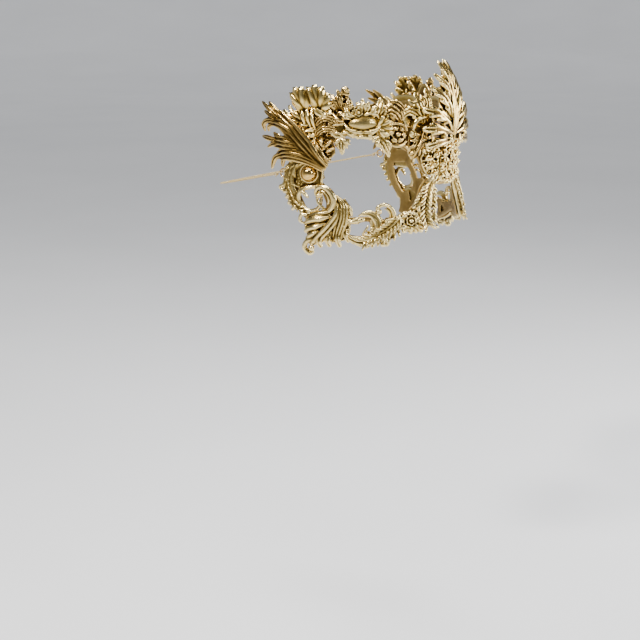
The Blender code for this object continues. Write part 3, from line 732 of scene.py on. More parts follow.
def makeLight(name, place, size, power, color):
    data = bpy.data.lights.new(name, "AREA")
    data.shape = "RECTANGLE"
    data.size, data.size_y = size
    data.energy = power
    data.color = color
    light = bpy.data.objects.new(name, data)
    bpy.context.scene.collection.objects.link(light)
    light.location = place
    light.rotation_euler = (Vector(place) - Vector((0, 0.03, 0.02))).to_track_quat("Z", "Y").to_euler()


def makeStudio():
    makeCamera()
    makeFloor()
    right, up, back = viewAxes()
    for name, (r, u, b), size, power, color in studio["lights"]:
        makeLight(name, right * r + up * u + back * b, size, power, color)
    sun = bpy.data.objects.new("sky", bpy.data.lights.new("sky", "SUN"))  # evens out the far floor
    sun.data.energy, sun.data.angle = studio["sun"], math.radians(studio["sunWidth"])
    sun.rotation_euler = [math.radians(turn) for turn in studio["sunTurn"]]
    bpy.context.scene.collection.objects.link(sun)
    world = bpy.data.worlds.new("studio")
    world.use_nodes = True
    world.node_tree.nodes["Background"].inputs[0].default_value = (*studio["sky"], 1)
    world.node_tree.nodes["Background"].inputs[1].default_value = studio["skyPower"]
    bpy.context.scene.world = world


makeStudio()
print("camera, floor and lights ready")


# the elastic, from one tie ring round the back of the head to the other, in millimetres
strap = {"diameter": 0.0015, "ring": (81.59, 97.56, 5.5), "ringRadius": 3.0, "ringWire": 0.6,
         "loopReach": 3.2, "loopRadius": 2.2, "loopWire": 0.55, "knotReach": 6.52, "knotDrop": 1.38,
         "knotTurns": ((0, 0.0), (60, 0.35), (-55, -0.3)),  # the knot's crossed turns: degrees, and shift
         "knotRadius": 0.95, "knotCord": 0.5, "tailCord": 0.4, "knotGrain": 0.14, "pitch": 0.0036,
         "half": [(81.6, 106.0, 3.6), (80.9, 118, 1.2), (78.5, 131, -1.6), (73, 147, -5), (64, 162, -8.2),
                  (51.8, 176, -11.1), (36.6, 187, -13.5), (19, 194, -15)],
         "back": (0, 196.4, -15.5)}


def strapPath():
    right = [(-x, y, z) for x, y, z in strap["half"]]
    return smoothPath(right + [strap["back"]] + strap["half"][::-1], 240) * mm


def makeElastic():
    path = strapPath()
    curve = bpy.data.curves.new("elastic", "CURVE")
    curve.dimensions = "3D"
    spline = curve.splines.new("POLY")
    spline.points.add(len(path) - 1)
    for spot, place in zip(spline.points, path):
        spot.co = (*place, 1)
    mesh = runTree(braidTree(finishes["elastic"]), curve, {"Pitch": strap["pitch"]})
    points, faces = meshArrays(mesh)
    cord = finishedObject("braided_elastic", points, faces, finishes["elastic"],
                          ["elastic_cord"], "strap")
    length = float(np.linalg.norm(np.diff(path, axis=0), axis=1).sum())
    print(f"elastic: {length * 1000:.0f} mm, {len(faces)} faces")
    return cord, path, length


def torusMesh(clay, centre, radius, wire, axis, around=48, wireSides=12):
    # a closed ring of wire about the X or the Z axis
    turn = np.linspace(0, 2 * math.pi, around, endpoint=False)
    roll = np.linspace(0, 2 * math.pi, wireSides, endpoint=False)
    out = radius + wire * np.cos(roll)
    a = np.outer(np.cos(turn), out).ravel()
    b = np.outer(np.sin(turn), out).ravel()
    c = np.tile(wire * np.sin(roll), around)
    points = np.stack([c, a, b] if axis == "x" else [a, b, c], 1) + centre
    faces = []
    for k in range(around):
        for n in range(wireSides):
            k2, n2 = (k + 1) % around, (n + 1) % wireSides
            faces.append((k * wireSides + n, k2 * wireSides + n, k2 * wireSides + n2, k * wireSides + n2))
    addMesh(clay, points, faces)


def makeRingAndKnot(word, side):
    x, y, z = strap["ring"]
    ring = newClay()
    torusMesh(ring, np.array([side * x, y, z]), strap["ringRadius"], strap["ringWire"], "x")
    finishedObject(f"tie_ring_{word}_wire", ring["points"][0] * mm, ring["faces"], finishes["polished"],
                   [f"tie_ring_{word}"])
    knot = newClay()
    loopCentre = np.array([side * x, y + strap["loopReach"], z])
    torusMesh(knot, loopCentre, strap["loopRadius"], strap["loopWire"], "z", 40, 8)
    centre = np.array([side * x, y + strap["knotReach"], z - strap["knotDrop"]])
    for turn, shift in strap["knotTurns"]:
        t = np.linspace(0, 2 * math.pi, 25)
        a = math.radians(turn)
        loop = np.stack([strap["knotRadius"] * np.cos(t) * math.cos(a),
                         strap["knotRadius"] * np.cos(t) * math.sin(a) + shift,
                         strap["knotRadius"] * np.sin(t)], 1)
        addTube(knot, loop + centre, np.full(25, strap["knotCord"]), np.full(25, strap["knotCord"]), 8)
    addBall(knot, centre, 1.0)
    tail = smoothPath([centre, centre + (0, 0.6, -1.2), centre + (-side * 0.5, 1.1, -2.6)], 10)
    addTube(knot, tail, np.full(10, strap["tailCord"]), np.full(10, strap["tailCord"]), 8)
    points, faces = fuse(knot, strap["knotGrain"])
    return finishedObject(f"tie_knot_{word}_cord", points * mm, faces, finishes["elastic"],
                          [f"tie_knot_{word}"], "strap")


knots = [makeRingAndKnot(word, side) for word, side in sides.items()]
elastic, elasticPath, elasticLength = makeElastic()


# the castings are drawn flat as (u, v, off the face) in millimetres; in a piece's dictionary a stroke is
# its points and its width along them
petalRing = petalRingTree(finishes["bright"])
berries = berryTree(finishes["bright"])
leafletRow = leafletRowTree(finishes["champagne"])


def addTree(clay, tree, data, values, at=(0, 0, 0)):
    points, faces = meshArrays(runTree(tree, data, values))
    addMesh(clay, points + np.array(at, float), faces)


def lineCurve(points):
    curve = bpy.data.curves.new("line", "CURVE")
    curve.dimensions = "3D"
    path = smoothPath(points, 40)
    spline = curve.splines.new("POLY")
    spline.points.add(len(path) - 1)
    for spot, place in zip(spline.points, path):
        spot.co = (*place, 1)
    return curve


def addLeaflets(clay, points, count, length, width, spread=0.9):
    values = {"Leaflets": count, "Length": length, "Width": width, "Spread": spread}
    addTree(clay, leafletRow, lineCurve(points), values)


def addBerries(clay, outline, off, spacing, small, large, rise, seed=3):
    patch = plainMesh("patch", [(u, v, off) for u, v in outline], [tuple(range(len(outline)))])
    values = {"Spacing": spacing, "Small": small, "Large": large, "Rise": rise, "Seed": seed}
    addTree(clay, berries, patch, values)


def petalMesh(length, width, cup):
    # one cupped petal along +X: a web, a raised rim and a vein
    petal = newClay()
    addBall(petal, (length * 0.5, 0, 0), length * 0.5, flat=0.22, wide=width / length)
    turn = np.linspace(-2.2, 2.2, 14)
    rim = np.stack([length * 0.5 + length * 0.45 * np.cos(turn), width * 0.45 * np.sin(turn),
                    cup * (0.5 + 0.5 * np.cos(turn))], 1)
    addTube(petal, rim, np.full(14, 0.5), np.full(14, 0.5), 6)
    vein = smoothPath([(0, 0, 0.3), (length * 0.5, 0, cup * 0.3), (length * 0.9, 0, cup)], 8)
    addTube(petal, vein, np.full(8, 0.4), np.full(8, 0.4), 6)
    return plainMesh("petal", np.concatenate(petal["points"]), petal["faces"])


# shares of a rosette's radius, and how far each ring of petals stands over the one under it
flowerShares = {"shrink": 0.36, "length": 0.82, "width": 0.8, "hole": 0.18, "rise": 1.1}


def addRosette(clay, centre, radius, petals=6, bead=1.8, off=4.5, cup=1.6, rings=2):
    # rings of cupped petals round a bead, each ring smaller and higher
    for ring in range(rings):
        reach = radius * (1 - flowerShares["shrink"] * ring)
        petal = petalMesh(reach * flowerShares["length"], reach * flowerShares["width"], cup)
        values = {"Petals": petals, "Ring": reach * flowerShares["hole"], "Turn": 0.0, "Size": 1.0}
        turned = math.pi / petals * (ring % 2)
        flower = newClay()
        addTree(flower, petalRing, petal, values)
        points = flower["points"][0]
        cos, sin = math.cos(turned), math.sin(turned)
        points = np.stack([points[:, 0] * cos - points[:, 1] * sin, points[:, 0] * sin + points[:, 1] * cos,
                           points[:, 2]], 1)
        addMesh(clay, points + np.array((*centre, off + flowerShares["rise"] * ring)), flower["faces"])
    addBall(clay, (*centre, off + flowerShares["rise"] * rings + 0.3), bead)
    addBall(clay, (*centre, off - 1.2), radius * 0.8, flat=0.35)


def midway(root, tip, shift):
    # the middle of a stroke, moved by shift
    return tuple((np.array(root) + np.array(tip)) / 2 + shift)


def outward(turn):
    # a direction in the flat, turn degrees round from u
    return np.array((math.cos(math.radians(turn)), math.sin(math.radians(turn)), 0.0))


templeLeaf = {
    "finish": "antique",
    "ribbedLobes": [
        ([(105, 12, 5), (112, 18, 6.5), (121, 29, 8), (133, 43, 8.6), (144, 53, 8)], [6, 10, 13, 13.5, 12],
         4),
        ([(114, 21, 6), (125, 33, 8), (131, 40, 8.6), (140, 44.6, 8.4), (148, 45, 7.8)], [4, 7, 8.4, 8, 6],
         3),
        ([(110, 18, 6), (124, 27, 8), (136, 29.6, 8.6), (148, 30.5, 7.8)], [5, 9, 11, 9], 4),
        ([(106, 10.5, 5.5), (116, 16.5, 7.2), (125, 20, 8.4), (136, 21, 8.6), (143, 17.4, 7.6)],
         [6, 8, 10, 10, 8], 4)],
    "fingers": [
        ([(136, 46, 8), (146, 54.6, 8.4), (154, 60.6, 6.2)], [5, 5.4, 2]),
        ([(135, 49, 7.6), (142, 55.6, 7.8), (147.5, 60.6, 6.4)], [4, 4.6, 2]),
        ([(137, 43.6, 8), (146, 50, 8.2), (153, 53.4, 6.4)], [4, 5, 2]),
        ([(138, 44.4, 8.6), (148, 46.4, 8.4), (154.4, 43.2, 7.2), (154.6, 37.4, 6)], [4.6, 5.4, 4.6, 2]),
        ([(136, 42.4, 8), (144.6, 43.4, 7.8), (150, 41, 7), (151, 37.6, 6)], [3.4, 4, 3.4, 1.8]),
        ([(140, 30.4, 8.6), (150, 32.4, 8), (157.6, 33.6, 6.2)], [5, 5.4, 2]),
        ([(134, 31, 8), (141, 34, 8), (146.4, 37, 6.6)], [4, 4.8, 2]),
        ([(136, 28.4, 8), (145, 28.4, 8), (153, 25.2, 6.2)], [4, 5, 2]),
        ([(136, 21, 8.8), (144.5, 17.6, 8), (149.6, 8.4, 5.6)], [5, 5.6, 2.2]),
        ([(129, 19.4, 8), (137, 16.8, 7.8), (140, 10.4, 5.6)], [4, 5, 2.2]),
        ([(124, 22, 8), (132, 23.6, 8), (141, 22.6, 7)], [3.4, 4, 2])],
    "ridges": [
        ([(103.5, 15, 5), (106, 19, 6.4), (110, 28, 7.2)], [3, 3.4, 2.4]),
        ([(104, 12, 5.4), (109, 19, 7.6), (116, 29, 8.6), (125, 42, 7.6)], [3, 3.6, 3.6, 2.4]),
        ([(105, 10, 5.4), (112, 14, 7), (120, 18.4, 8), (128, 22, 8.6)], [2.6, 3, 3, 1.8])]}


def makeTempleLeaf():
    clay = newClay()
    # three long lobes of deep parallel ribs
    for line, width, ribs in templeLeaf["ribbedLobes"]:
        addRibs(clay, line, width, ribs=ribs, rise=1.5, splay=0.12, stagger=0.06, tip=0.6)
    # broad pointed fingers at their ends
    for line, width in templeLeaf["fingers"]:
        addLeaf(clay, line, width, teeth=1, ridges=2, crown=1.1, groove=0.4, bite=0.25, sweep=0.4)
    for line, width in templeLeaf["ridges"]:
        addRib(clay, line, width)
    cast("temple_leaf", clay, templeLeaf["finish"])


templeFlower = {
    "finish": "bright",
    "petals": [
        ((117.6, 54, 6),
         ((125.6, 61.4, 7.4), (125.4, 66.6, 9), (121.6, 70.4, 10.2), (117, 70.8, 10.6),
          (113.6, 67.4, 9.8))),
        ((106.8, 54, 6),
         ((113, 66.4, 9), (111.4, 70.6, 10.4), (106.8, 72, 11), (102.2, 70.6, 10.4), (99, 66, 9),
          (98.4, 61, 7.4)))],
    "heart": {"centre": (109.4, 61, 9.4), "radius": 3.4, "flat": 0.6, "wide": 0.7, "turn": 60},
    "flutes": ((112, 39, 57), (115.4, 40, 60), (119, 41, 58)),
    "sideLeaves": [
        ((126.5, 54, 6.6), (123.5, 50, 7)),
        ((131, 58, 6), (127, 52, 7.2)),
        ((136.5, 54.5, 5.4), (130, 50, 6.6)),
        ((134, 49, 5), (128, 46.5, 6.4)),
        ((126.5, 61.6, 7), (122.5, 57, 8))],
    "foldedLeaf": ([(111, 60, 7.6), (108.6, 55, 9), (105, 51.4, 9), (107, 46.5, 7)], [4, 8.4, 8, 4]),
    "rearLeaf": ([(108, 45, 4.5), (102.5, 50, 6.6), (99.6, 56.4, 6)], [4, 7, 3]),
    "lowLeaves": [
        ((123, 30, 4), (119, 34, 6.4), (112.6, 36.4, 5.6)),
        ((126, 35, 4), (120.6, 38.4, 6.8), (113, 40.6, 6)),
        ((128, 41, 4), (122, 43.4, 6.6), (115, 44, 5.6)),
        ((119, 26, 4), (116.4, 29.4, 6), (112.6, 32.4, 5))],
    "berries": {"outline": [(112, 29), (120, 31), (126, 38), (127, 47), (113, 47)], "off": 4.4,
                "spacing": 2.6, "small": 0.7, "large": 1.2, "rise": 1.4, "seed": 4},
    "plate": [(108, 41), (122, 41), (130, 48), (127, 54), (120, 57.4), (106, 57.4), (101, 54), (104, 46)]}


def makeTempleFlower():
    clay = newClay()
    # two ruffled petals over the top, each a fan of overlapping folds
    for root, tips in templeFlower["petals"]:
        for order, tip in enumerate(tips):
            middle = midway(root, tip, (0, 0, 2.0 + 0.7 * (order % 2)))
            curl = np.array(tip) + ((tip[0] - root[0]) * 0.06, 0.4, -2.4)
            addLeaf(clay, [root, middle, tip, curl], [4.4, 8, 8.2, 4], teeth=0, ridges=1,
                    crown=1.3, groove=0.3, sweep=-0.2, thick=1.2)
    addBall(clay, **templeFlower["heart"])
    # upright flutes
    for u, low, high in templeFlower["flutes"]:
        addLeaf(clay, [(u, low, 4.5), (u + 0.9, (low + high) / 2, 8.8), (u + 0.4, high, 7)], [3, 4.4, 3],
                teeth=0, ridges=1, crown=1.2, groove=0.2)
    for tip, bend in templeFlower["sideLeaves"]:
        addLeaf(clay, [(120.5, 45, 4.6), bend, tip], [3.4, 5.4, 2.4], teeth=2, ridges=1, crown=1.2,
                groove=0.35)
    addLeaf(clay, *templeFlower["foldedLeaf"], teeth=0, ridges=2, crown=1.2, groove=0.25)
    addLeaf(clay, *templeFlower["rearLeaf"], teeth=2, ridges=1, crown=1.2)
    for root, bend, tip in templeFlower["lowLeaves"]:
        addLeaf(clay, [root, bend, tip], [4, 5.4, 2.6], teeth=2, ridges=1, crown=1.3, groove=0.35, bite=0.4)
    addBerries(clay, **templeFlower["berries"])
    addPlate(clay, templeFlower["plate"], low=castingFoot, high=4.2)
    cast("temple_flower", clay, templeFlower["finish"])


browScroll = {
    "finish": "antique",
    "lobes": [
        ([(112.5, 42.5, 4.6), (108.5, 47, 7), (104, 49, 8), (98.5, 47.5, 7.4), (95, 43.5, 6)],
         [4, 6, 6.5, 6, 3]),
        ([(112, 34, 4.6), (109.5, 38, 7), (104.5, 41, 8), (99, 40.5, 7), (96, 37, 5.6)],
         [4, 6, 6, 5, 2.5])],
    "volute": {"centre": (101, 44.6), "outer": 4, "inner": 1.1, "turns": 1.2, "start": 200, "way": -1,
               "width": [2.4, 1.4], "off": (5, 7.5)},
    "rib": ([(111, 52, 4.6), (106, 53.5, 6.4), (101, 52, 6.4), (97.5, 53.5, 5)], [2.4, 3.4, 3, 1.6]),
    "berries": {"outline": [(99, 36), (112, 36), (112, 50), (99, 50)], "off": 3.6, "spacing": 2.4,
                "small": 0.8, "large": 1.4, "rise": 0.8, "seed": 5},
    "plate": [(95, 37), (104, 35), (113, 35), (113, 46), (106, 53), (97, 52)]}


def makeBrowScroll():
    clay = newClay()
    for line, width in browScroll["lobes"]:
        addLobe(clay, line, width, ribs=3, rise=1.2)
    addVolute(clay, **browScroll["volute"])
    addRib(clay, *browScroll["rib"])
    addBerries(clay, **browScroll["berries"])
    addPlate(clay, browScroll["plate"], low=castingFoot, high=3.6)
    cast("brow_scroll", clay, browScroll["finish"])


templeSprig = {
    "finish": "antique",
    "plate": [(98, 22), (104, 16.5), (111, 17), (115, 25), (114, 33), (104, 33.5), (99, 29)],
    "leaves": [
        ((108, 22, 4.5), (113.6, 33.5, 6.2), 4.6),
        ((105, 22, 4.5), (98.4, 27, 5.6), 4.4),
        ((107, 20, 4.5), (114.5, 24, 6), 4.2),
        ((105, 25, 4.5), (100, 33, 6), 4.6),
        ((107, 20, 4.5), (101, 17, 5.4), 4),
        ((110, 27, 4.5), (116, 29, 6), 4),
        ((107, 26, 5.5), (107, 35, 6.4), 4.6),
        ((109, 18, 4), (113, 16.4, 5), 3.4)],
    "berries": {"outline": [(101, 19), (110, 18), (113, 27), (110, 33), (102, 31)], "off": 4.8,
                "spacing": 2.4, "small": 0.6, "large": 1.1, "rise": 1.6, "seed": 8},
    "volute": {"centre": (106, 28), "outer": 2.8, "inner": 0.8, "turns": 1.3, "start": 30, "way": 1,
               "width": [1.9, 1.3], "off": (5.9, 7.6)}}


def makeTempleSprig():
    clay = newClay()
    addPlate(clay, templeSprig["plate"], low=castingFoot, high=3.6)
    for root, tip, width in templeSprig["leaves"]:
        middle = midway(root, tip, (0.8, 0.4, 2))
        addLeaf(clay, [root, middle, tip], [2.4, width, 1.8], teeth=2, ridges=1, crown=1.3,
                groove=0.35, bite=0.4)
    addBerries(clay, **templeSprig["berries"])
    addVolute(clay, **templeSprig["volute"])
    cast("temple_sprig", clay, templeSprig["finish"])


cartouche = {
    "finish": "champagne",
    "belly": [
        {"centre": (76.5, 45, 4.6), "radius": 11, "flat": 0.4, "wide": 0.52, "turn": -2, "around": 28,
         "tall": 14},
        {"centre": (75.2, 46.8, 4.4), "radius": 9.4, "flat": 0.44, "wide": 0.56, "turn": 5, "around": 28,
         "tall": 14}],
    "lip": [
        ([(63.4, 47, 4.6), (65.4, 42, 6.6), (71, 38.8, 7.4), (78, 38.2, 7.2)], [2.6, 4.2, 4.6, 3], 3),
        ([(90, 46, 5), (88, 41.4, 6.6), (82.6, 38.8, 7.4), (76, 38.2, 7.2)], [2.6, 4.2, 4.6, 3], 3),
        ([(67, 36.4, 4.6), (72, 34.6, 6), (77.4, 35.4, 6.4), (82, 34.6, 5.6)], [3, 4.6, 4.6, 3], 3),
        ([(95, 35.6, 4.6), (90, 38.4, 6), (84.6, 36.4, 6.4), (79, 34.8, 5.6)], [3, 4.8, 4.8, 3], 3),
        ([(64, 47, 5.4), (66.4, 51.4, 7.2), (71.4, 52.4, 7.8), (76, 50.6, 7.2)], [2.4, 4, 4, 2.4], 2),
        ([(91, 46, 5.4), (89, 50.6, 7.2), (85, 51.4, 7.8), (81, 50.4, 7)], [2.4, 4, 4, 2.4], 2)],
    "volutes": [
        {"centre": (72.6, 36.6), "outer": 2.0, "inner": 0.8, "turns": 1.0, "start": 0, "way": 1,
         "width": [1.6, 1.2], "off": (6.4, 7.4)},
        {"centre": (84.6, 37.4), "outer": 2.0, "inner": 0.8, "turns": 1.0, "start": 180, "way": -1,
         "width": [1.6, 1.2], "off": (6.4, 7.4)}],
    "rosette": {"centre": (79, 53.4), "radius": 4.4, "petals": 6, "bead": 1.3, "off": 6.2, "cup": 1.2},
    "topLeaves": [
        ([(83, 49.5, 6), (86.5, 52.4, 8.6), (88, 57.4, 7.4)], [4, 6, 3]),
        ([(84, 48.5, 6), (88.4, 50.4, 8), (92, 53, 6.6)], [4, 5.6, 3]),
        ([(74, 52, 6), (72.4, 57, 8.6), (70.6, 61, 6.8)], [3.4, 5, 2.6]),
        ([(75, 53, 6), (75.2, 58.4, 9), (74.8, 63, 7.4)], [3.4, 5, 2.6]),
        ([(76, 53, 6), (78, 57.6, 8.6), (79.4, 61, 7)], [3, 4.4, 2.2]),
        ([(72, 51, 6), (68, 54.4, 8.2), (63.6, 55, 6)], [3.4, 5.4, 2.6])],
    "sheet": [(66, 36.4), (78, 34.4), (90, 36), (93, 45), (88, 54.6), (77, 58.6), (67, 54.6), (64, 46)],
    "smoothPlate": [(90, 34.5), (97, 34), (101.5, 38.5), (96.5, 43), (90, 43.5)],
    "plateLeaf": ([(102, 39, 4.6), (98, 43.6, 6), (91, 44.8, 6.4)], [2.4, 3.6, 2.4]),
    "plateRib": ([(91, 35, 5.4), (94.6, 37.8, 6.6), (99.4, 38, 6)], [1.4, 2, 1.2])}


def makeCartouche():
    clay = newClay()
    for ball in cartouche["belly"]:
        addBall(clay, **ball)
    # the scalloped lip under and beside the belly
    for line, width, teeth in cartouche["lip"]:
        addLeaf(clay, line, width, teeth=teeth, ridges=1, crown=1.2, groove=0.3, bite=0.4, sweep=0.6)
    for volute in cartouche["volutes"]:
        addVolute(clay, **volute)
    addRosette(clay, **cartouche["rosette"])
    for line, width in cartouche["topLeaves"]:
        addLeaf(clay, line, width, teeth=2, ridges=2, crown=1.1, groove=0.4)
    addSheet(clay, cartouche["sheet"], low=castingFoot, high=4)
    # the smooth plate beyond it
    addPlate(clay, cartouche["smoothPlate"], low=castingFoot, high=5.8, inset=1.2)
    addLeaf(clay, *cartouche["plateLeaf"], teeth=3, ridges=1, crown=0.8)
    addRib(clay, *cartouche["plateRib"], flat=0.6)
    cast("cartouche", clay, cartouche["finish"])


browPlume = {
    "finish": "antique",
    "curl": {"centre": (85.5, 69.6), "outer": 3.4, "inner": 1.2, "turns": 1.0, "start": -120, "way": 1,
             "width": [2.8, 2.2], "off": (7, 7.6), "lead": [(92, 58, 4.6), (92.5, 64, 7), (88.5, 68, 7.6)],
             "eye": 1.9},
    "plumes": [
        ((92, 55, 4.6), (96.5, 66.5, 6.4), 4.4),
        ((90, 54, 4.6), (91.5, 70, 8), 4.8),
        ((94, 55, 4.6), (99.5, 60, 5.4), 3.8),
        ((88, 54, 4.6), (84.5, 63.5, 7), 4.2),
        ((87, 55, 4.6), (82, 59, 6), 3.4)],
    "volute": {"centre": (92, 52), "outer": 4.2, "inner": 1.1, "turns": 1.4, "start": 90, "way": 1,
               "width": [2.4, 1.4], "off": (5, 7.6)},
    "ribs": [
        ([(98, 53, 4.6), (94.5, 48, 7), (90, 46.5, 6.4)], [2.4, 3.2, 2]),
        ([(99.5, 50, 4.6), (97, 45, 6), (93, 43.5, 5.6)], [2, 2.8, 1.8])],
    "berries": {"outline": [(84, 54), (98, 54), (97, 62), (86, 64)], "off": 4, "spacing": 2.5, "small": 0.8,
                "large": 1.4, "rise": 1.2, "seed": 4},
    "plate": [(82, 55), (88, 46), (98, 46), (100, 56), (96, 64), (89, 68), (83, 63)]}


def makeBrowPlume():
    clay = newClay()
    addVolute(clay, **browPlume["curl"])
    for root, tip, width in browPlume["plumes"]:
        middle = midway(root, tip, (0, 0, 2.2))
        addLobe(clay, [root, middle, tip], [3, width, 2], ribs=3, rise=0.8)
    addVolute(clay, **browPlume["volute"])
    for line, width in browPlume["ribs"]:
        addRib(clay, line, width)
    addBerries(clay, **browPlume["berries"])
    addPlate(clay, browPlume["plate"], low=castingFoot, high=4)
    cast("brow_plume", clay, browPlume["finish"])


drops = {
    "finish": "champagne",
    "outerLobe": ([(93.5, 34.5, 4), (93.5, 30, 6), (93, 25, 5.6), (92.8, 21.3, 4)], [6, 7, 4.4, 1.4]),
    "outerRoot": (93.4, 34, 4.6),
    "outerTips": ((99.3, 30.2, 4.6), (98, 26.8, 4.4), (86.4, 29, 4.6), (88.4, 25.6, 4.4)),
    "outerPlate": [(98.5, 33.6), (97, 29), (92.8, 24), (88.5, 29), (87, 33.5)],
    "innerLobe": ([(66, 36, 4), (63, 30.5, 6.2), (60, 24.5, 5.6), (57.8, 19.3, 4)], [7, 8, 5, 1.4]),
    "innerRibs": [
        ([(65, 34, 4.6), (67, 30, 6), (66.3, 27, 4.6)], [3, 3.4, 1.6]),
        ([(66, 35.5, 4.6), (69, 33, 5.6), (70.3, 30.5, 4.4)], [2.6, 3, 1.4]),
        ([(61, 34, 4.6), (58.5, 30, 5.8), (56.3, 25.5, 4.4)], [3, 3.2, 1.4]),
        ([(62, 29, 5), (61.5, 25.5, 5.6), (60.8, 22.4, 4.4)], [2.4, 2.6, 1.2])],
    "innerPlate": [(69.5, 33.5), (65, 28.5), (58.5, 21), (57.5, 28), (60.5, 36), (65.5, 37.5)]}


def makeDrops():
    # the two pointed leaves that hang into the eye opening
    outer = newClay()
    addLobe(outer, *drops["outerLobe"], ribs=3, rise=0.9)
    u, v, off = drops["outerRoot"]
    for tip in drops["outerTips"]:
        addRib(outer, [(u, v, off), ((u + tip[0]) / 2, 31.5, 6), tip], [2.6, 3, 1.4])
    addPlate(outer, drops["outerPlate"], low=castingFoot, high=3.8)
    cast("outer_drop", outer, drops["finish"])
    inner = newClay()
    addLobe(inner, *drops["innerLobe"], ribs=3, rise=0.9)
    for line, width in drops["innerRibs"]:
        addRib(inner, line, width)
    addPlate(inner, drops["innerPlate"], low=castingFoot, high=3.8)
    cast("inner_drop", inner, drops["finish"])


browShell = {
    "finish": "bright",
    "fan": {"root": (66.5, 42, 5.0), "folds": 8, "spread": 62, "reach": 11.5, "shorten": 1.2},
    "plate": [(67, 35), (67, 50), (59, 52), (54.5, 46), (55, 38), (60, 34)],
    "standingLeaf": ([(66, 50, 5), (64.5, 55, 8), (62.8, 59.5, 7.6), (61.8, 63.5, 6)], [6, 8, 6, 2]),
    "sideRibs": [
        ([(67.5, 50, 5), (68.5, 54.5, 7), (68, 58, 5.6)], [2.6, 3, 1.4]),
        ([(63, 49, 5), (60, 53, 7), (59, 57.5, 5.8)], [2.8, 3.4, 1.6]),
        ([(61, 48, 5), (57.5, 51, 6.6), (55.5, 53.5, 5.4)], [2.6, 3, 1.6])]}


def makeBrowShell():
    clay = newClay()
    # a ruffled fan opening towards the nose
    fan = browShell["fan"]
    root = np.array(fan["root"])
    for k, angle in enumerate(np.linspace(fan["spread"], -fan["spread"], fan["folds"])):
        a = math.radians(180 + angle)
        reach = fan["reach"] - fan["shorten"] * abs(angle) / fan["spread"]
        tip = root + np.array((reach * math.cos(a), reach * math.sin(a) * 0.9 + 0.5,
                               2.2 + (0.8 if k % 2 else -0.4)))  # every other fold stands higher
        middle = midway(root, tip, (0, 0, 1.2))
        addRib(clay, [root, middle, tip], [1.4, 2.8, 3.0], tip=1.0)
    addPlate(clay, browShell["plate"], low=castingFoot, high=4.8)
    # the feathered leaf that stands over it
    addLobe(clay, *browShell["standingLeaf"], ribs=5, rise=1.2)
    for line, width in browShell["sideRibs"]:
        addRib(clay, line, width)
    cast("brow_shell", clay, browShell["finish"])


curledLeaf = {
    "finish": "antique",
    "roll": ([(47.5, 45, 4.6), (51, 50.5, 8), (56, 54.5, 9), (60, 52, 7)], [6, 9, 9, 4]),
    "back": ([(46, 48, 4.6), (46.5, 54, 7.2), (51, 59, 7.4), (56.5, 60.5, 6)], [5, 7, 6, 2.4]),
    "fold": ([(51, 46, 4.6), (55, 46.5, 7.4), (58.6, 49.5, 7)], [4, 5, 2.4]),
    "ribs": [
        ([(45.5, 50.5, 4.6), (42.8, 54, 6.4), (43.5, 58.5, 5.4)], [3, 3.4, 1.8]),
        ([(57.5, 57.5, 5.6), (60.5, 56.5, 6.6), (61.6, 53.8, 6)], [2.4, 2.6, 1.8])],
    "volute": {"centre": (54.5, 50.4), "outer": 2.9, "inner": 0.9, "turns": 1.2, "start": 150, "way": -1,
               "width": [1.8, 1.2], "off": (8, 9.2)},
    "plate": [(46, 44.5), (55, 44), (59.5, 50), (57.5, 57), (51, 60), (45, 57)]}


def makeCurledLeaf():
    clay = newClay()
    # a leaf that rolls over on itself, dark inside the roll
    addLobe(clay, *curledLeaf["roll"], ribs=4, rise=1.2)
    addLobe(clay, *curledLeaf["back"], ribs=3, rise=1.0)
    addLobe(clay, *curledLeaf["fold"], ribs=2, rise=0.8)
    for line, width in curledLeaf["ribs"]:
        addRib(clay, line, width)
    addVolute(clay, **curledLeaf["volute"])
    addPlate(clay, curledLeaf["plate"], low=castingFoot, high=3.8)
    cast("curled_leaf", clay, curledLeaf["finish"])


browRosette = {
    "finish": "antique",
    "rosette": {"centre": (51.6, 36.4), "radius": 5, "petals": 5, "bead": 2.0, "off": 5.2, "cup": 1.2,
                "rings": 1},
    "leaves": ((20, 7), (75, 6.4), (130, 7.4), (190, 7), (245, 6.6), (305, 7.4)),
    "frame": [
        ([(59.5, 43, 4.4), (53, 44.6, 6.4), (47, 43, 6.6), (43.6, 38, 6)], [2, 2.8, 2.8, 2]),
        ([(59, 31, 4.2), (54, 28, 5.6), (48, 28.4, 6), (44.4, 32, 5.4)], [2, 2.8, 2.8, 2]),
        ([(47, 28.6, 4.2), (43.5, 25.6, 5.2), (40.5, 22, 4.6)], [2.4, 2.6, 1.6])],
    "berries": {"outline": [(45, 29), (58, 29.5), (60, 40), (52, 45), (44, 41)], "off": 3.4, "spacing": 2.6,
                "small": 0.7, "large": 1.2, "rise": 0.6, "seed": 9},
    "plate": [(44, 30), (52, 28), (60, 31), (60.5, 40), (53, 44.5), (44, 42)]}


def makeBrowRosette():
    clay = newClay()
    addRosette(clay, **browRosette["rosette"])
    for turn, reach in browRosette["leaves"]:
        away = outward(turn)
        heart = np.array((*browRosette["rosette"]["centre"], 4.6))
        line = [heart + away * 2.6, heart + away * reach * 0.7 + (0, 0, 1.8), heart + away * reach]
        addLeaf(clay, line, [3, 6, 2.8], teeth=2, ridges=1, crown=1.1, groove=0.35, bite=0.3)
    # scrolls that frame it
    for line, width in browRosette["frame"]:
        addRib(clay, line, width)
    addBerries(clay, **browRosette["berries"])
    addPlate(clay, browRosette["plate"], low=castingFoot, high=3.6)
    cast("brow_rosette", clay, browRosette["finish"])


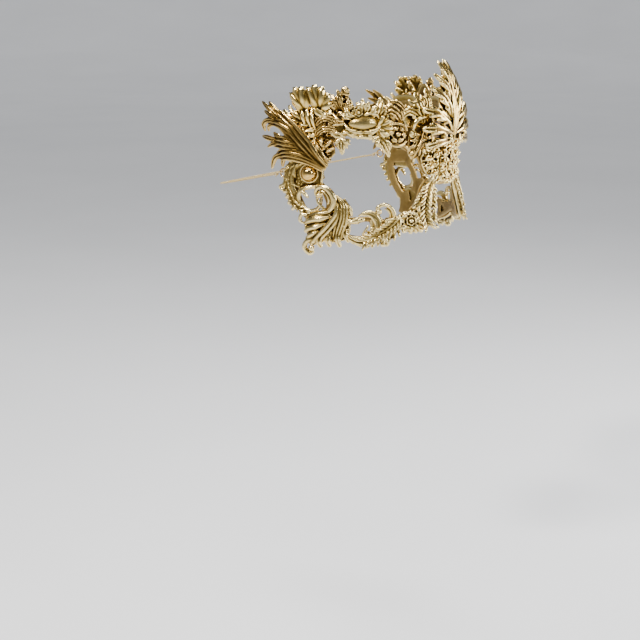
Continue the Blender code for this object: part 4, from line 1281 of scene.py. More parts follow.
bridgeDrop = {
    "finish": "antique",
    "lobe": ([(30.5, 37.5, 4.6), (34, 31, 7), (37.5, 24, 6.6), (40, 17.2, 4.4)], [7, 10.5, 8.5, 2.4]),
    "midrib": ([(29.5, 37.5, 6), (33.5, 31, 8.4), (37.2, 24, 7.8), (39.6, 18, 5.4)], [2, 2.2, 2, 1.2]),
    "barbs": [
        ((33, 31.5, 7), (42, 31, 5.4)),
        ((35, 28, 7), (44.6, 25.6, 5)),
        ((36.6, 25, 6.6), (43, 20, 4.6)),
        ((33.4, 30.5, 7), (31.4, 24, 4.8)),
        ((35.5, 26.5, 6.6), (33.2, 18.8, 4.6)),
        ((31, 35.5, 6), (39, 35.5, 5.4))],
    "plate": [(31.5, 37.5), (41, 36.5), (43, 28), (41.5, 19.5), (36, 17), (32.2, 21), (31.4, 30)]}


def makeBridgeDrop():
    clay = newClay()
    addLobe(clay, *bridgeDrop["lobe"], ribs=2, rise=0.6, teeth=3)
    addRib(clay, *bridgeDrop["midrib"])
    for root, tip in bridgeDrop["barbs"]:
        middle = midway(root, tip, (0, 0, 0.8))
        addRib(clay, [root, middle, tip], [1.8, 2.8, 1.6])
    addPlate(clay, bridgeDrop["plate"], low=castingFoot, high=4)
    cast("bridge_drop", clay, bridgeDrop["finish"])


crestSideLeaf = {
    "finish": "bright",
    "tallLobe": ([(28, 43, 5), (31, 50, 9), (33.5, 57.5, 9.6), (35, 66.5, 7.6)], [7, 10, 8, 2.4]),
    "sideLobes": [
        ([(25, 44, 5), (25.5, 52, 8.6), (25, 60, 9), (24.6, 69, 7.4)], [6, 8, 7, 2.2]),
        ([(30, 44, 5), (36.5, 50, 8.6), (42, 53, 8.4), (46.5, 50.5, 6.6), (46.5, 46.5, 5.4)],
         [6, 8, 7, 5, 2])],
    "ribs": [
        ([(33, 52, 8), (38.5, 57.5, 8), (41, 62, 6.4)], [3.4, 3.6, 1.8]),
        ([(29, 52, 8), (29.4, 60, 8.4), (30, 65.4, 6.6)], [3, 3.2, 1.6]),
        ([(25, 46.5, 6), (28.5, 48.6, 9), (34.5, 47.6, 9.4), (38.4, 43.4, 8), (38.6, 39.5, 6.6)],
         [2.6, 3.2, 3.4, 3.2, 2.2])],
    "volutes": [
        {"centre": (40.6, 36.4), "outer": 3.6, "inner": 1.0, "turns": 1.3, "start": 100, "way": 1,
         "width": [2.3, 1.3], "off": (6, 8)},
        {"centre": (27.2, 38.6), "outer": 3.0, "inner": 0.9, "turns": 1.2, "start": 60, "way": -1,
         "width": [2.0, 1.2], "off": (5.6, 7.4)}],
    "plate": [(23.5, 44), (36, 40), (45, 44), (44, 52), (37, 57), (33, 62), (26, 64), (23, 55)]}


def makeCrestSideLeaf():
    clay = newClay()
    # a hood of ribs that rises from the volute, with pointed lobes above
    addLobe(clay, *crestSideLeaf["tallLobe"], ribs=5, rise=1.4)
    for line, width in crestSideLeaf["sideLobes"]:
        addLobe(clay, line, width, ribs=4, rise=1.2)
    # two ribs between the lobes and the arched rim of the hollow
    for line, width in crestSideLeaf["ribs"]:
        addRib(clay, line, width)
    for volute in crestSideLeaf["volutes"]:
        addVolute(clay, **volute)
    addPlate(clay, crestSideLeaf["plate"], low=castingFoot, high=4)
    cast("crest_side_leaf", clay, crestSideLeaf["finish"])


bridgeFiligree = {
    "finish": "bright",
    "upperSheet": [(13.4, 13), (20, 10.4), (26, 11.6), (29, 19), (29, 35), (25.6, 40.5), (18, 41),
                   (13.4, 39)],
    "scrolls": [
        ((17.5, 36.5), 4.2, 40, 1),
        ((25, 33.5), 3.8, 200, -1),
        ((17, 28), 4.0, 300, -1),
        ((25.5, 25), 3.8, 120, 1),
        ((18.5, 19.5), 3.8, 60, 1),
        ((26.5, 16.5), 3.4, 250, -1),
        ((17.5, 11.8), 3.2, 180, -1),
        ((24.6, 10), 2.8, 0, 1)],
    "leaves": ((21.5, 39), (21, 31.5), (21.5, 23), (22.3, 14), (14.5, 32), (14.5, 23.5), (29, 29.5),
               (29, 21), (14.6, 15.6), (20.6, 7.6)),
    "berries": {"outline": [(13.4, 6), (19, 2.6), (26, 5), (30.4, 14), (30.4, 20), (30, 36), (24, 41),
                            (13.4, 40)], "off": 4.4, "spacing": 2.2, "small": 0.6, "large": 1.15,
                "rise": 2.8, "seed": 7},
    "lowerSheet": [(13.4, 14), (13.4, 6), (19, 2.8), (25, 5), (29.6, 13), (29, 20)],
    "footVolute": {"centre": (18.6, 5.4), "outer": 2.8, "inner": 0.9, "turns": 1.2, "start": 300, "way": 1,
                   "width": [2.0, 1.2], "off": (4.8, 7)}}


def makeBridgeFiligree():
    clay = newClay()
    addSheet(clay, bridgeFiligree["upperSheet"], low=castingFoot, high=3.8)
    for centre, size, start, way in bridgeFiligree["scrolls"]:
        addVolute(clay, centre, size, 0.9, 1.25, start, way, width=[2.1, 1.2], off=(5, 7.8))
    for k, (u, v) in enumerate(bridgeFiligree["leaves"]):
        addLobe(clay, [(u, v, 4.4), (u + 1.6, v + 1.8, 7.6), (u + 1.2 - (k % 3), v + 4.4, 6)],
                [2, 3.4, 1.6], ribs=2, rise=0.5)
    addBerries(clay, **bridgeFiligree["berries"])
    addSheet(clay, bridgeFiligree["lowerSheet"], low=castingFoot, high=3.6)
    addVolute(clay, **bridgeFiligree["footVolute"])
    cast("bridge_filigree", clay, bridgeFiligree["finish"])


bridgeCluster = {
    "finish": "bright",
    "half": [(4, -5.5), (10, -3.8), (12, 4), (11.6, 20), (8, 25), (3, 27)],
    "scrolls": [
        ((6.5, 2), 3.6, 30),
        ((4.5, 12), 3.8, 200),
        ((8.2, 18.5), 3.2, 100),
        ((3.4, 22.5), 2.8, 320)],
    "lobes": [
        ((3, -1, 6.4), (6.5, -6.2, 6)),
        ((8, 4, 6.4), (12.6, 0.5, 5.4)),
        ((8, 10, 6.6), (13, 12, 6)),
        ((2, 6, 7), (2.6, 10.5, 8.6))]}


def makeBridgeCluster():
    clay = newClay()
    half = bridgeCluster["half"]
    outline = half + [(-u, v) for u, v in reversed(half)]
    addPlate(clay, [(u * 0.86, v * 0.9 + 0.6) for u, v in outline], low=2.8, high=5.6)
    addBerries(clay, outline, off=6.4, spacing=1.9, small=0.7, large=1.35, rise=2.2, seed=12)
    for side in (-1, 1):
        for (u, v), size, start in bridgeCluster["scrolls"]:
            addVolute(clay, (side * u, v), size, 0.9, 1.2, start=90 - side * (90 - start), way=side,
                      width=[2.2, 1.3], off=(7, 9.6))
        for root, tip in bridgeCluster["lobes"]:
            middle = midway(root, tip, (0, 0, 2))
            ends = [(side * p[0], p[1], p[2]) for p in (root, middle, tip)]
            addLobe(clay, ends, [2.4, 3.8, 1.8], ribs=2, rise=0.6)
    cast("bridge_cluster", clay, bridgeCluster["finish"], middle=True)


crestLeaf = { "finish": "bright",
             "lobes": [([(3, 31, 9.8), (13, 29.6, 11.8), (23, 28.6, 11.4), (32.6, 26.6, 9.4)],
                        [6, 9, 8.4, 3], 3),
                       ([(3, 35, 10), (15, 37, 12.4), (25, 38.8, 12), (35, 39.4, 9.4)], [6, 11, 10, 3], 3),
                       ([(3, 41, 10.2), (13, 46, 12.8), (23, 50.4, 12.2), (33.6, 53.6, 9.4)],
                        [6, 12, 11, 3], 4),
                       ([(2.4, 46, 10.4), (8, 55, 13), (14.4, 63, 12.4), (21.6, 70, 9.6)], [6, 11.5, 10, 3],
                        4),
                       ([(1.6, 54, 10.4), (5, 64, 13.2), (9, 71.6, 12.6), (14.4, 78.6, 9.8)],
                        [6, 9.5, 8.4, 3], 3),
                       ([(1, 60, 10.4), (2.6, 71, 13), (4.2, 80, 12.2), (5.8, 88, 9.8)], [5, 8, 7, 2.4],
                        3)],
             "veins": [[(2, 33, 11), (2.4, 45, 13.4), (2, 60, 13.8), (1.2, 72, 13.2)],
                       [(3, 36, 11), (9, 42, 13.4), (18, 48.6, 13.4), (27, 52.6, 11.6)],
                       [(2.6, 46, 12), (6.6, 55, 14), (12, 62.6, 13.6), (18, 68.6, 11.4)],
                       [(3, 34, 11), (12, 37, 13.2), (21, 39.4, 13), (29, 40.6, 11)]],
             "curls": ((8, 30.4, 1), (15, 33.4, -1), (10, 57, 1)),
             "halfSheet": [(0, 28.6), (14, 29), (26, 28.4), (28, 38), (26, 44), (26, 50), (18, 52),
                           (16, 60), (13.6, 66), (9, 72), (5, 80), (0, 84)],
             "spine": ([(0, 28, 10), (0, 45, 13), (0, 65, 13.6), (0, 80, 12.6), (0, 89.6, 10)],
                       [3, 3.2, 2.8, 2.6, 1.8])}


def makeCrestLeaf():
    clay = newClay()
    # each lobe: its line, its width and its barbs
    for side in (-1, 1):
        for line, width, teeth in crestLeaf["lobes"]:
            addLeaf(clay, [(side * u, v, off) for u, v, off in line], width, teeth=teeth, ridges=2,
                    crown=1.4, groove=0.5, bite=0.42, sweep=0.7, thick=1.2)
        for line in crestLeaf["veins"]:
            addRib(clay, [(side * u, v, off) for u, v, off in line], [2, 2.4, 2, 1])
        # small curls low on each side
        for u, v, way in crestLeaf["curls"]:
            addVolute(clay, (side * u, v), 2.6, 0.9, 1.1, start=90, way=side * way, width=[2, 1.3],
                      off=(12.4, 13.6))
        addSheet(clay, [(side * u, v) for u, v in crestLeaf["halfSheet"]], low=9.0, high=10.8)
    addRib(clay, *crestLeaf["spine"])
    cast("crest_leaf", clay, crestLeaf["finish"], middle=True, lift=3.2)


sidePlate = {
    "finish": "champagne",
    "sheet": [(107, 17), (119, 18.4), (129.5, 16.6), (134.5, 10), (134, 1), (130, -4), (122, -5.4),
              (110, -4.6), (107.4, 2), (106.8, 10)],
    "edge": [(120, 16.4, 3.8), (130, 13, 4.4), (134.4, 3, 4.8), (133.4, -7, 4.8), (128.6, -16.8, 4.6),
             (119, -24.4, 4)],
    "barbs": [
        ((134, 1, 4.4), (138.8, -1.2, 4.2)),
        ((134, -9, 4.4), (140.4, -9, 4.2)),
        ((133, -12, 4.4), (138.4, -13.6, 4.2)),
        ((131.5, -15.5, 4.2), (136.2, -18.4, 4.2)),
        ((128, -19, 4), (133, -23, 4.2)),
        ((133, 10, 4.2), (138.4, 9.4, 4.2)),
        ((123, -22, 4), (125.6, -27, 4.2))],
    "hook": ([(135.5, -1.6, 4.4), (139.6, -3.8, 5), (142.2, -5, 5), (141.8, -7.4, 5)], [2.4, 2.8, 2.6, 2]),
    "hookBall": {"centre": (140.4, -7, 4.9), "radius": 1.5},
    "lip": [
        ([(109, -3.6, 4), (116.6, -4, 5), (123.6, -6.4, 5.2), (127, -12, 4.8), (124.6, -18.6, 4.2)],
         [3.4, 4.6, 5.6, 5, 3]),
        ([(125, -18.4, 4), (118, -22.4, 4.8), (111.4, -20.4, 4.8), (108.8, -14, 4.2), (109.4, -7, 4)],
         [3, 4.4, 4.6, 3.6, 2.6])],
    "lipLeaf": ([(125, -6, 5), (121.6, -8.8, 6.4), (118.4, -12.4, 6)], [3, 3.8, 1.8]),
    "frontRib": ([(108, 15, 4), (107.8, 6, 4.6), (108.8, -1, 4.6)], [1.6, 2, 1.4]),
    "berries": {"outline": [(110, 14), (120, 16.6), (130, 14), (133, 4), (129, -3), (112, -3)], "off": 3.9,
                "spacing": 1.9, "small": 0.28, "large": 0.5, "rise": 0.15, "seed": 6}}


def makeSidePlate():
    clay = newClay()
    addSheet(clay, sidePlate["sheet"], low=castingFoot, high=3.9)
    # the leafy border down the rear edge
    edge = sidePlate["edge"]
    addLeaf(clay, edge, [8, 10.5, 11, 10.5, 9.5, 5], teeth=6, ridges=2, crown=0.7, groove=0.22, bite=0.22,
            sweep=0.5)
    addLeaflets(clay, [(u + 2.2, v, off - 0.3) for u, v, off in edge], count=36, length=2.9, width=0.72,
                spread=0.6)
    for root, tip in sidePlate["barbs"]:
        middle = midway(root, tip, (0, 0.6, 0.8))
        addLeaf(clay, [root, middle, tip], [4.4, 4.8, 2], teeth=2, ridges=1, crown=0.7, groove=0.3,
                bite=0.4)
    addRib(clay, *sidePlate["hook"], flat=1)
    addBall(clay, **sidePlate["hookBall"])
    # the rolled lip of the opening, with a small leaf curled over it
    for line, width in sidePlate["lip"]:
        addLeaf(clay, line, width, teeth=0, ridges=1, crown=1.1, groove=0.2)
    addLeaf(clay, *sidePlate["lipLeaf"], teeth=1, ridges=1, crown=0.8)
    addRib(clay, *sidePlate["frontRib"])
    addBerries(clay, **sidePlate["berries"])
    cast("side_plate", clay, sidePlate["finish"])


ballAndCup = {
    "finish": "bright", "u": 118, "v": 6.5,
    "ball": {"radius": 6.0, "off": 5.4, "flatUnder": 3.3, "around": 56, "tall": 36},
    "cup": {"radius": 6.9, "around": 44, "grain": 0.26},
    "hoops": ((2.6, 0.6), (4.0, 0.5), (5.1, 0.62)),  # how far off the face, and their wire
    "wall": {"off": 3.7, "wire": 0.45, "stretch": 3.4}}


def makeBallAndCup():
    u, v, ball, hoop, rim = (ballAndCup[key] for key in ("u", "v", "ball", "cup", "wall"))
    cup = newClay()
    centre = np.array([u, v, 0])
    for lift, wire in ballAndCup["hoops"]:
        torusMesh(cup, centre + (0, 0, lift), hoop["radius"], wire, "z", hoop["around"], 10)
    # the wall is a ring of wire, drawn out in height
    wall = newClay()
    torusMesh(wall, centre + (0, 0, rim["off"]), hoop["radius"], rim["wire"], "z", hoop["around"], 8)
    points = wall["points"][0]
    points[:, 2] = rim["off"] + (points[:, 2] - rim["off"]) * rim["stretch"]
    addMesh(cup, points, wall["faces"])
    cast("ball_cup", cup, ballAndCup["finish"], grain=hoop["grain"])
    sphere = newClay()
    addBall(sphere, (u, v, ball["off"]), ball["radius"], around=ball["around"], tall=ball["tall"])
    points = sphere["points"][0]
    points[:, 2] = np.maximum(points[:, 2], ball["off"] - ball["flatUnder"])
    for word, side in sides.items():
        faces = sphere["faces"] if side > 0 else [f[::-1] for f in sphere["faces"]]
        # the ball stays round: it is set on the face whole, and not bent with it
        centreLine = bendToFace(np.array([[u, v, 0.0], [u, v, 1.0], [u + 0.5, v, 0.0]]), side)
        normal = Vector(centreLine[1] - centreLine[0]).normalized()
        along = Vector(centreLine[2] - centreLine[0])
        along = (along - normal * along.dot(normal)).normalized()
        up = normal.cross(along) * side
        offsets = (points - (u, v, 0)) * mm
        placed = centreLine[0] + offsets @ np.array([along, up, normal])
        finishedObject(f"ball_{word}_polished", placed, faces, finishes["polished"],
                       [f"ball_{word}"])


cheekLeaf = {
    "finish": "champagne",
    "openingScroll": [
        ([(110.6, -12.4, 5.4), (112.4, -8.6, 6.2), (111, -4.6, 6.8), (107, -3.2, 7.4), (102.4, -5.6, 8),
          (99, -11, 8.2), (99, -17, 8), (102.4, -21.6, 7), (107, -22, 6)],
         [2, 2.8, 3.2, 3.8, 4.6, 5, 4.6, 3.6, 2.2]),
        ([(108.4, -6.2, 6.6), (104.2, -8.4, 7.4), (102.2, -13, 7.6), (103.4, -17.6, 7)], [1.4, 2, 2, 1.2])],
    "scrollEye": {"centre": (110, -9.6), "outer": 2.4, "inner": 1.1, "turns": 0.8, "start": 80, "way": 1,
                  "width": [2.4, 1.8], "off": (5.8, 7), "eye": 1.8},
    "innerRib": ([(112, -11, 4.6), (110.6, -16, 5.4), (106.6, -20.4, 5.6), (103, -23.4, 5.4)],
                 [2.4, 2.6, 2.8, 2.2]),
    "longLeaf": ([(98, -9.6, 5), (93.4, -17, 7.2), (93.6, -27, 7.8), (96.6, -37.6, 6.8), (99, -46.6, 5)],
                 [5, 12.5, 16, 15, 8]),
    "longRibs": [
        ([(96.6, -15, 8), (97.4, -24, 9.4), (103.4, -33, 9), (111, -41.4, 7.8), (117, -49, 6.4)],
         [2, 3, 3.4, 3.4, 3]),
        ([(94, -20, 8.6), (97.6, -30, 9), (104, -38.6, 8), (111, -46, 6.4)], [1.6, 2.4, 2.6, 2]),
        ([(91.6, -12.4, 4.6), (87, -20, 5.6), (85.6, -26.6, 5)], [2, 3.2, 2])],
    "lobes": [
        ([(98.6, -22.4, 5.6), (106, -23, 7.2), (113, -24.4, 6.6), (120, -27.4, 4.8)], [4, 5.4, 5, 2.4]),
        ([(100, -26.4, 6), (108, -27.6, 8.4), (115.6, -29.4, 7.8), (122, -33, 5.4)], [5, 8, 7.6, 4]),
        ([(104.4, -31.6, 6), (112, -34, 8.2), (118, -36.4, 7.2), (122, -39.4, 5.2)], [5, 7.2, 7, 3.6]),
        ([(109, -37, 6), (115, -40, 7.8), (121, -45, 5.4)], [4, 6.4, 3.6])],
    "lobeRibs": [
        ([(102, -25, 7), (109, -25.2, 8.4), (115.4, -27, 7.8), (119, -30.4, 6.4)], [1.2, 1.8, 1.8, 1.4]),
        ([(120, -25.4, 4.8), (124.4, -26.2, 5.4), (125.4, -30.4, 5.4), (122.4, -32.8, 5)], [2.4, 3, 3, 2])],
    "beads": ((119.4, -30.4, 6), (120.6, -34.6, 6), (118.6, -24, 5)),
    "footCurl": ([(113.6, -44, 6.4), (119.6, -46, 6.6), (122, -51, 6.4), (118.6, -55.6, 6.2),
                  (114.4, -54, 6.2)], [3.4, 3.8, 4.2, 4, 3]),
    "curlBall": {"centre": (116.4, -51.4, 6.8), "radius": 2.5},
    "lowerLobes": [
        ([(108, -41, 5.4), (110.6, -46, 7), (109.4, -51, 5)], [4, 6, 3.4]),
        ([(101, -38, 5.4), (103.6, -45, 7), (102.6, -50.4, 5)], [4, 6, 3]),
        ([(96, -37, 5.4), (96.4, -44, 6.8), (95, -50.4, 4.8)], [4, 6, 3]),
        ([(91, -35, 5), (90.4, -41, 6.4), (88.4, -46.6, 4.6)], [4, 5.4, 2.6])],
    "rosette": {"centre": (91.2, -33), "radius": 4.4, "petals": 5, "bead": 1.3, "off": 6.2, "cup": 1.2,
                "rings": 1},
    "sheet": [(112, -22), (104, -22.4), (94, -15), (87, -25), (89, -44), (104, -46), (118, -50), (121, -40),
              (121, -27)]}


def makeCheekLeaf():
    clay = newClay()
    # the C-scroll round the crescent opening, and its eye
    for line, width in cheekLeaf["openingScroll"]:
        addRib(clay, line, width)
    addVolute(clay, **cheekLeaf["scrollEye"])
    addRib(clay, *cheekLeaf["innerRib"])
    # the long grooved leaf that sweeps down from it
    addLeaf(clay, *cheekLeaf["longLeaf"], teeth=0, ridges=5, crown=1.5, groove=0.42, thick=1.4)
    for line, width in cheekLeaf["longRibs"]:
        addRib(clay, line, width)
    # broad ruffled lobes on its outer side
    for line, width in cheekLeaf["lobes"]:
        addLeaf(clay, line, width, teeth=0, ridges=1, crown=1.7, groove=0.3, thick=1.6)
    for line, width in cheekLeaf["lobeRibs"]:
        addRib(clay, line, width)
    for spot in cheekLeaf["beads"]:
        addBall(clay, spot, 1.3)
    # the curl at the foot and the ruffled lower edge
    addRib(clay, *cheekLeaf["footCurl"])
    addBall(clay, **cheekLeaf["curlBall"])
    for line, width in cheekLeaf["lowerLobes"]:
        addLeaf(clay, line, width, teeth=2, ridges=2, crown=1.2, groove=0.4)
    addRosette(clay, **cheekLeaf["rosette"])
    addSheet(clay, cheekLeaf["sheet"], low=castingFoot, high=4.2)
    cast("cheek_leaf", clay, cheekLeaf["finish"])


lowerScroll = {
    "finish": "champagne",
    "crescent": ([(91, -38.6, 4.4), (86, -42.4, 5.2), (78, -43.8, 6), (70.6, -41, 6.8), (66.6, -34, 7.2),
                  (68.4, -27, 6.8), (74, -23.6, 6), (80.6, -25.6, 5)], [2.4, 4.4, 6.6, 9, 10.5, 9, 6, 2.4]),
    "crescentRib": ([(83, -45.4, 5), (75, -45.6, 6), (67.4, -41.6, 6.8), (63, -34.6, 6.8),
                     (64.6, -28.6, 6)], [1.4, 1.8, 2.2, 2.2, 1.4]),
    "ledge": ([(94, -27, 4.6), (88.4, -30, 5.8), (82, -29.4, 6), (76, -28.4, 5.6)], [4, 5.4, 5.6, 3]),
    "ledgeRibs": [
        ([(92.6, -33.6, 4.6), (88.6, -32.6, 5.4), (87, -36, 5.2)], [2.4, 2.6, 1.6]),
        ([(73.6, -33, 6), (75.6, -36.6, 6), (78.4, -40.6, 5.4)], [1.8, 2.2, 1.6]),
        ([(93.4, -33, 4.6), (92.8, -38, 5), (89.6, -41.6, 5)], [2.8, 3, 2.2])],
    "loop": [
        ([(56, -31.4, 4.6), (54.8, -26, 5.4), (56.8, -20.4, 6), (61.4, -17.2, 6.4), (66, -18.4, 6.4),
          (68, -22, 6)], [3.8, 3.6, 3.4, 3.2, 3.2, 3]),
        ([(58.6, -29, 4.8), (57.6, -25, 5.6), (59.2, -21.6, 5.8), (62, -20, 5.6)], [1.6, 1.8, 1.8, 1.2])],
    "loopBall": {"centre": (66, -22.4, 6.2), "radius": 2.3},
    "loopRib": ([(67, -28.6, 5), (63, -29.8, 5.4), (59, -30.4, 5)], [3, 3.4, 2.6]),
    "edgeLeaf": ([(90, -43, 4.2), (83, -46.6, 5), (75.6, -48, 5.2), (69, -46.4, 4.8), (64.6, -42.6, 4.4)],
                 [3, 5.6, 6.6, 6, 3]),
    "lowCurl": ([(70, -42, 4.6), (65.4, -42.4, 5.6), (61.4, -44.4, 6), (60, -47.6, 5.8), (61.4, -50, 5.4)],
                [2.4, 3, 3.2, 3, 2.2]),
    "curlBall": {"centre": (63.2, -48.2, 5.6), "radius": 2.2},
    "sheet": [(64, -29), (71, -27), (72, -33), (72.4, -38), (77, -42), (88, -41), (90, -44), (76, -46.6),
              (66, -43), (61.6, -35)]}


def makeLowerScroll():
    clay = newClay()
    # the smooth crescent under and beside the long opening
    addLeaf(clay, *lowerScroll["crescent"], teeth=0, ridges=2, crown=1.5, groove=0.22, thick=1.6)
    addRib(clay, *lowerScroll["crescentRib"])
    # the ruffled ledge over the opening
    addLeaf(clay, *lowerScroll["ledge"], teeth=3, ridges=1, crown=1.2, groove=0.3, bite=0.35)
    for line, width in lowerScroll["ledgeRibs"]:
        addRib(clay, line, width)
    # the open loop with its ball
    for line, width in lowerScroll["loop"]:
        addRib(clay, line, width)
    addBall(clay, **lowerScroll["loopBall"])
    addRib(clay, *lowerScroll["loopRib"])
    # the serrated leaf along the lower edge and the low curl
    addLeaf(clay, *lowerScroll["edgeLeaf"], teeth=6, ridges=1, crown=1.0, groove=0.45, bite=0.45, sweep=0.7)
    addRib(clay, *lowerScroll["lowCurl"])
    addBall(clay, **lowerScroll["curlBall"])
    addSheet(clay, lowerScroll["sheet"], low=castingFoot, high=4.2)
    cast("lower_scroll", clay, lowerScroll["finish"])


sprayLeaf = {
    "finish": "champagne",
    "vein": [(50.6, -26.8, 5.8), (56.6, -32.6, 7), (63.4, -37.6, 7), (70.6, -41.8, 6.2), (77, -45.4, 5)],
    "underLeaf": ([(49, -31.4, 5), (55.4, -38.4, 5.6), (63.6, -43, 5.4), (71, -46.2, 4.6)], [6, 8.8, 8, 3]),
    "underLeaflets": {"points": [(48.6, -35, 4.8), (55, -40.6, 5.2), (63.6, -44.6, 5), (71, -47, 4.4)],
                      "count": 14, "length": 3.0, "width": 1.1, "spread": 0.8},
    "sheet": [(48.6, -27), (55, -27.6), (63, -33), (72, -40), (70, -44.4), (60, -42.4), (51, -37)]}


def makeSprayLeaf():
    clay = newClay()
    # a feathered leaf that runs from the rosette down to the scroll, and a row of barbs under it
    vein = sprayLeaf["vein"]
    addLeaf(clay, vein, [9, 15.5, 15, 11, 4], teeth=6, ridges=1, crown=0.8, groove=0.4, bite=0.42,
            sweep=0.8, thick=1.6)
    addLeaf(clay, *sprayLeaf["underLeaf"], teeth=5, ridges=1, crown=0.8, groove=0.5, bite=0.45, sweep=0.8)
    addLeaflets(clay, [(u, v, off + 0.7) for u, v, off in vein], count=22, length=4.6, width=1.05,
                spread=0.7)
    addLeaflets(clay, **sprayLeaf["underLeaflets"])
    addRib(clay, [(u, v, off + 1.5) for u, v, off in vein], [1.7, 1.7, 1.6, 1.3, 1.0])
    addSheet(clay, sprayLeaf["sheet"], low=castingFoot, high=4)
    cast("spray_leaf", clay, sprayLeaf["finish"])


lowerRosette = {
    "finish": "champagne",
    "rosette": {"centre": (42.8, -31), "radius": 5.8, "petals": 6, "bead": 1.7, "off": 5.2, "cup": 1.3,
                "rings": 2},
    "leaves": ((8, 9), (50, 8), (95, 8), (140, 8.6), (185, 8.4), (228, 8.4), (272, 9), (318, 9)),
    "fringeRoot": (42, -33.4, 4.2),
    "fringe": ((31.4, -38.4), (34.5, -40.6), (38.6, -41), (43, -41.4), (48, -40), (52.5, -36.5)),
    "berries": {"outline": [(36, -25), (49, -25), (54, -32), (47, -39), (35, -37)], "off": 4.6,
                "spacing": 2.2, "small": 0.5, "large": 1.0, "rise": 0.9, "seed": 2},
    "plate": [(36, -25), (44, -23.4), (51, -26), (53.4, -33), (48, -39), (39, -39.4), (33.6, -37)]}


def makeLowerRosette():
    clay = newClay()
    addRosette(clay, **lowerRosette["rosette"])
    centre = lowerRosette["rosette"]["centre"]
    for turn, reach in lowerRosette["leaves"]:
        away = outward(turn)
        root = np.array((*centre, 4.4)) + away * 3
        middle = np.array((*centre, 6.2)) + away * (reach * 0.72)
        addLeaf(clay, [root, middle, root + away * (reach - 3)], [3, 5.6, 2.6],
                teeth=2, ridges=1, crown=0.9, groove=0.35, bite=0.35)
    for tip in lowerRosette["fringe"]:
        root = lowerRosette["fringeRoot"]
        middle = midway(root, (*tip, 4), (0, 0, 1.4))
        addLeaf(clay, [root, middle, (*tip, 4.2)], [2.4, 4.6, 2.4], teeth=2, ridges=1,
                crown=1, groove=0.35)
    addBerries(clay, **lowerRosette["berries"])
    addPlate(clay, lowerRosette["plate"], low=castingFoot, high=4.4)
    cast("lower_rosette", clay, lowerRosette["finish"])


noseStrip = {
    "finish": "champagne",
    "spine": [(21.5, -1, 4.6), (26.6, -9, 5.4), (29.6, -17, 5.8), (31.4, -26, 5.6), (30.6, -36, 4.6)],
    "spikeRows": [
        ([(24.4, -3, 5.4), (31, -11, 5.8), (36.4, -18, 5.8), (38.4, -24, 5.2)], 17, 3.4),
        ([(19.4, -5, 5), (22.4, -14, 5.4), (25.2, -24, 5.4), (26.4, -34, 4.8)], 19, 3.6),
        ([(31, -27, 5.6), (36, -27.4, 5.6), (37, -31.4, 5)], 8, 3.2)],
    "berries": {"outline": [(21, -2), (28, -3), (34, -12), (39, -21), (36, -28), (31, -36), (25.4, -36),
                            (24, -24), (20, -9)], "off": 5.6, "spacing": 2.0, "small": 0.4, "large": 0.75,
                "rise": 1.6, "seed": 14},
    "rootLeaves": [
        ((24, -5, 5), (19.4, 0, 7.4), (14.6, 4.6, 6.2)),
        ((25, -4, 5), (22.4, 1, 7.2), (20, 6, 5.6)),
        ((22, -6, 5), (17, -2.6, 7.2), (12.4, -1.2, 6.4))],
    "sheet": [(18.6, -3), (25, -2), (31, -8.6), (37, -16.6), (39.6, -21.6), (36, -27), (32, -35),
              (26.8, -36.6), (25, -30), (23.4, -19)]}


def makeNoseStrip():
    clay = newClay()
    spine = noseStrip["spine"]
    addLeaf(clay, spine, [7, 12, 17, 14, 7], teeth=0, ridges=2, crown=0.8, groove=0.2, sweep=0.3)
    # rows of fine spikes that stand up and outward, one of them along the spine
    rows = [([(u, v, off + 0.9) for u, v, off in spine], 24, 4.2)] + noseStrip["spikeRows"]
    for line, count, length in rows:
        addLeaflets(clay, line, count, length, width=0.95, spread=0.62)
    addBerries(clay, **noseStrip["berries"])
    for root, bend, tip in noseStrip["rootLeaves"]:
        addLeaf(clay, [root, bend, tip], [4, 5, 2.4], teeth=2, ridges=1, crown=1.1, groove=0.35, bite=0.35)
    addSheet(clay, noseStrip["sheet"], low=castingFoot, high=4.4)
    cast("nose_strip", clay, noseStrip["finish"])


backings = {
    "finish": "backing", "browGrain": 0.7, "lowerGrain": 0.55,
    "browOutline": [(12, 5), (12, 47), (26, 52), (45, 50), (62, 53), (80, 54), (100, 51), (113, 53),
                    (124, 49), (126, 34), (119, 21.5), (107, 20.5), (102, 28), (92, 35), (80, 37), (66, 34),
                    (54, 30), (43, 23), (35, 20), (30, 12), (26, 5), (19, 2.4)],
    "lowerStrips": [
        ([(111.5, 17), (111, 8), (111.4, -1), (109, -4), (105, -10), (102.6, -18), (105, -26)], 7),
        ([(112, 16.4), (122, 15.6), (130, 10), (131, 0), (129.4, -12), (124.6, -22), (118, -30)], 8),
        ([(108, 8), (118, 5), (130, 4)], 13),
        ([(99, -13), (97, -24), (100, -35), (112, -41)], 12),
        ([(116, -26), (114, -36), (116, -46)], 12),
        ([(92, -24), (92, -36), (104, -42.4)], 8.4),
        ([(92, -30), (84, -29.4), (74, -29), (66, -30), (57, -32.6)], 4.6),
        ([(95, -41.6), (84, -44), (74, -43), (65, -40), (54, -35.4), (44, -31)], 4.6),
        ([(70, -30), (69, -36), (70, -42)], 6),
        ([(60, -32), (52, -31.6), (42, -29), (34, -27)], 9.4),
        ([(40, -32), (32, -32), (28.6, -24), (27.4, -12), (22.4, -2)], 8),
        ([(40, -24), (33.6, -17), (27.6, -6), (21, -1)], 5)]}


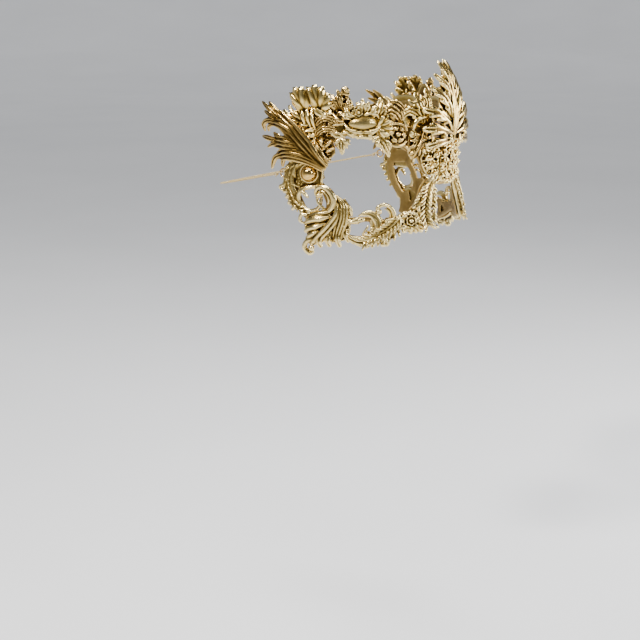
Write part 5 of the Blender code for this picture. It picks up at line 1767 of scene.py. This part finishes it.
def makeBackings():
    # thin sprayed backings that the castings are glued to
    brow = newClay()
    addPlate(brow, backings["browOutline"], low=0, high=backing)
    cast("brow_band", brow, backings["finish"], grain=backings["browGrain"])
    lower = newClay()
    for points, width in backings["lowerStrips"]:
        count = stepsFor(points)
        half = smoothValues(width, count) / 2
        flat = np.column_stack([smoothPath(points, count), np.full(count, backing / 2)])
        addTube(lower, flat, half, np.full(count, backing / 2), 10)
    cast("lower_band", lower, backings["finish"], grain=backings["lowerGrain"])


bridgePieces = {
    "finish": "antique", "plateGrain": 0.6, "postRibs": 5,
    "plate": [(-11, -3), (-7, -6), (7, -6), (11, -3), (11, 36), (6, 40), (-6, 40), (-11, 36)],
    "postPlate": [(-8, 30), (8, 30), (9.5, 44), (7, 56), (-7, 56), (-9.5, 44)]}


def makeBridgePieces():
    # the flat plate behind the bridge and the lump that carries the crest
    plate = newClay()
    addPlate(plate, bridgePieces["plate"], low=0.02, high=backing)
    points, faces = fuse(plate, bridgePieces["plateGrain"])
    points, relief = relax(points, faces, bridgePieces["plateGrain"])
    points = np.stack([points[:, 0], -points[:, 2], points[:, 1]], 1) * mm
    finishedObject("bridge_plate_casting", points, faces, finishes["backing"],
                   ["bridge_plate"], relief=relief)
    post = newClay()
    addPlate(post, bridgePieces["postPlate"], low=2.2, high=9.6)
    for k in range(bridgePieces["postRibs"]):
        addRib(post, [(-8 + 4 * k, 31, 8.8), (-7 + 3.5 * k, 44, 9.4), (-5 + 2.5 * k, 55, 8.8)],
               [2, 2.4, 1.6])
    cast("crest_post", post, bridgePieces["finish"], middle=True)


pieces = (makeTempleLeaf, makeTempleFlower, makeBrowScroll, makeTempleSprig, makeCartouche, makeBrowPlume,
          makeDrops, makeBrowShell, makeCurledLeaf, makeBrowRosette, makeBridgeDrop, makeCrestSideLeaf,
          makeBridgeFiligree, makeBridgeCluster, makeCrestLeaf, makeSidePlate, makeBallAndCup,
          makeCheekLeaf, makeLowerScroll, makeSprayLeaf, makeLowerRosette, makeNoseStrip, makeBackings,
          makeBridgePieces)
for make in pieces:
    make()
print("all castings set")
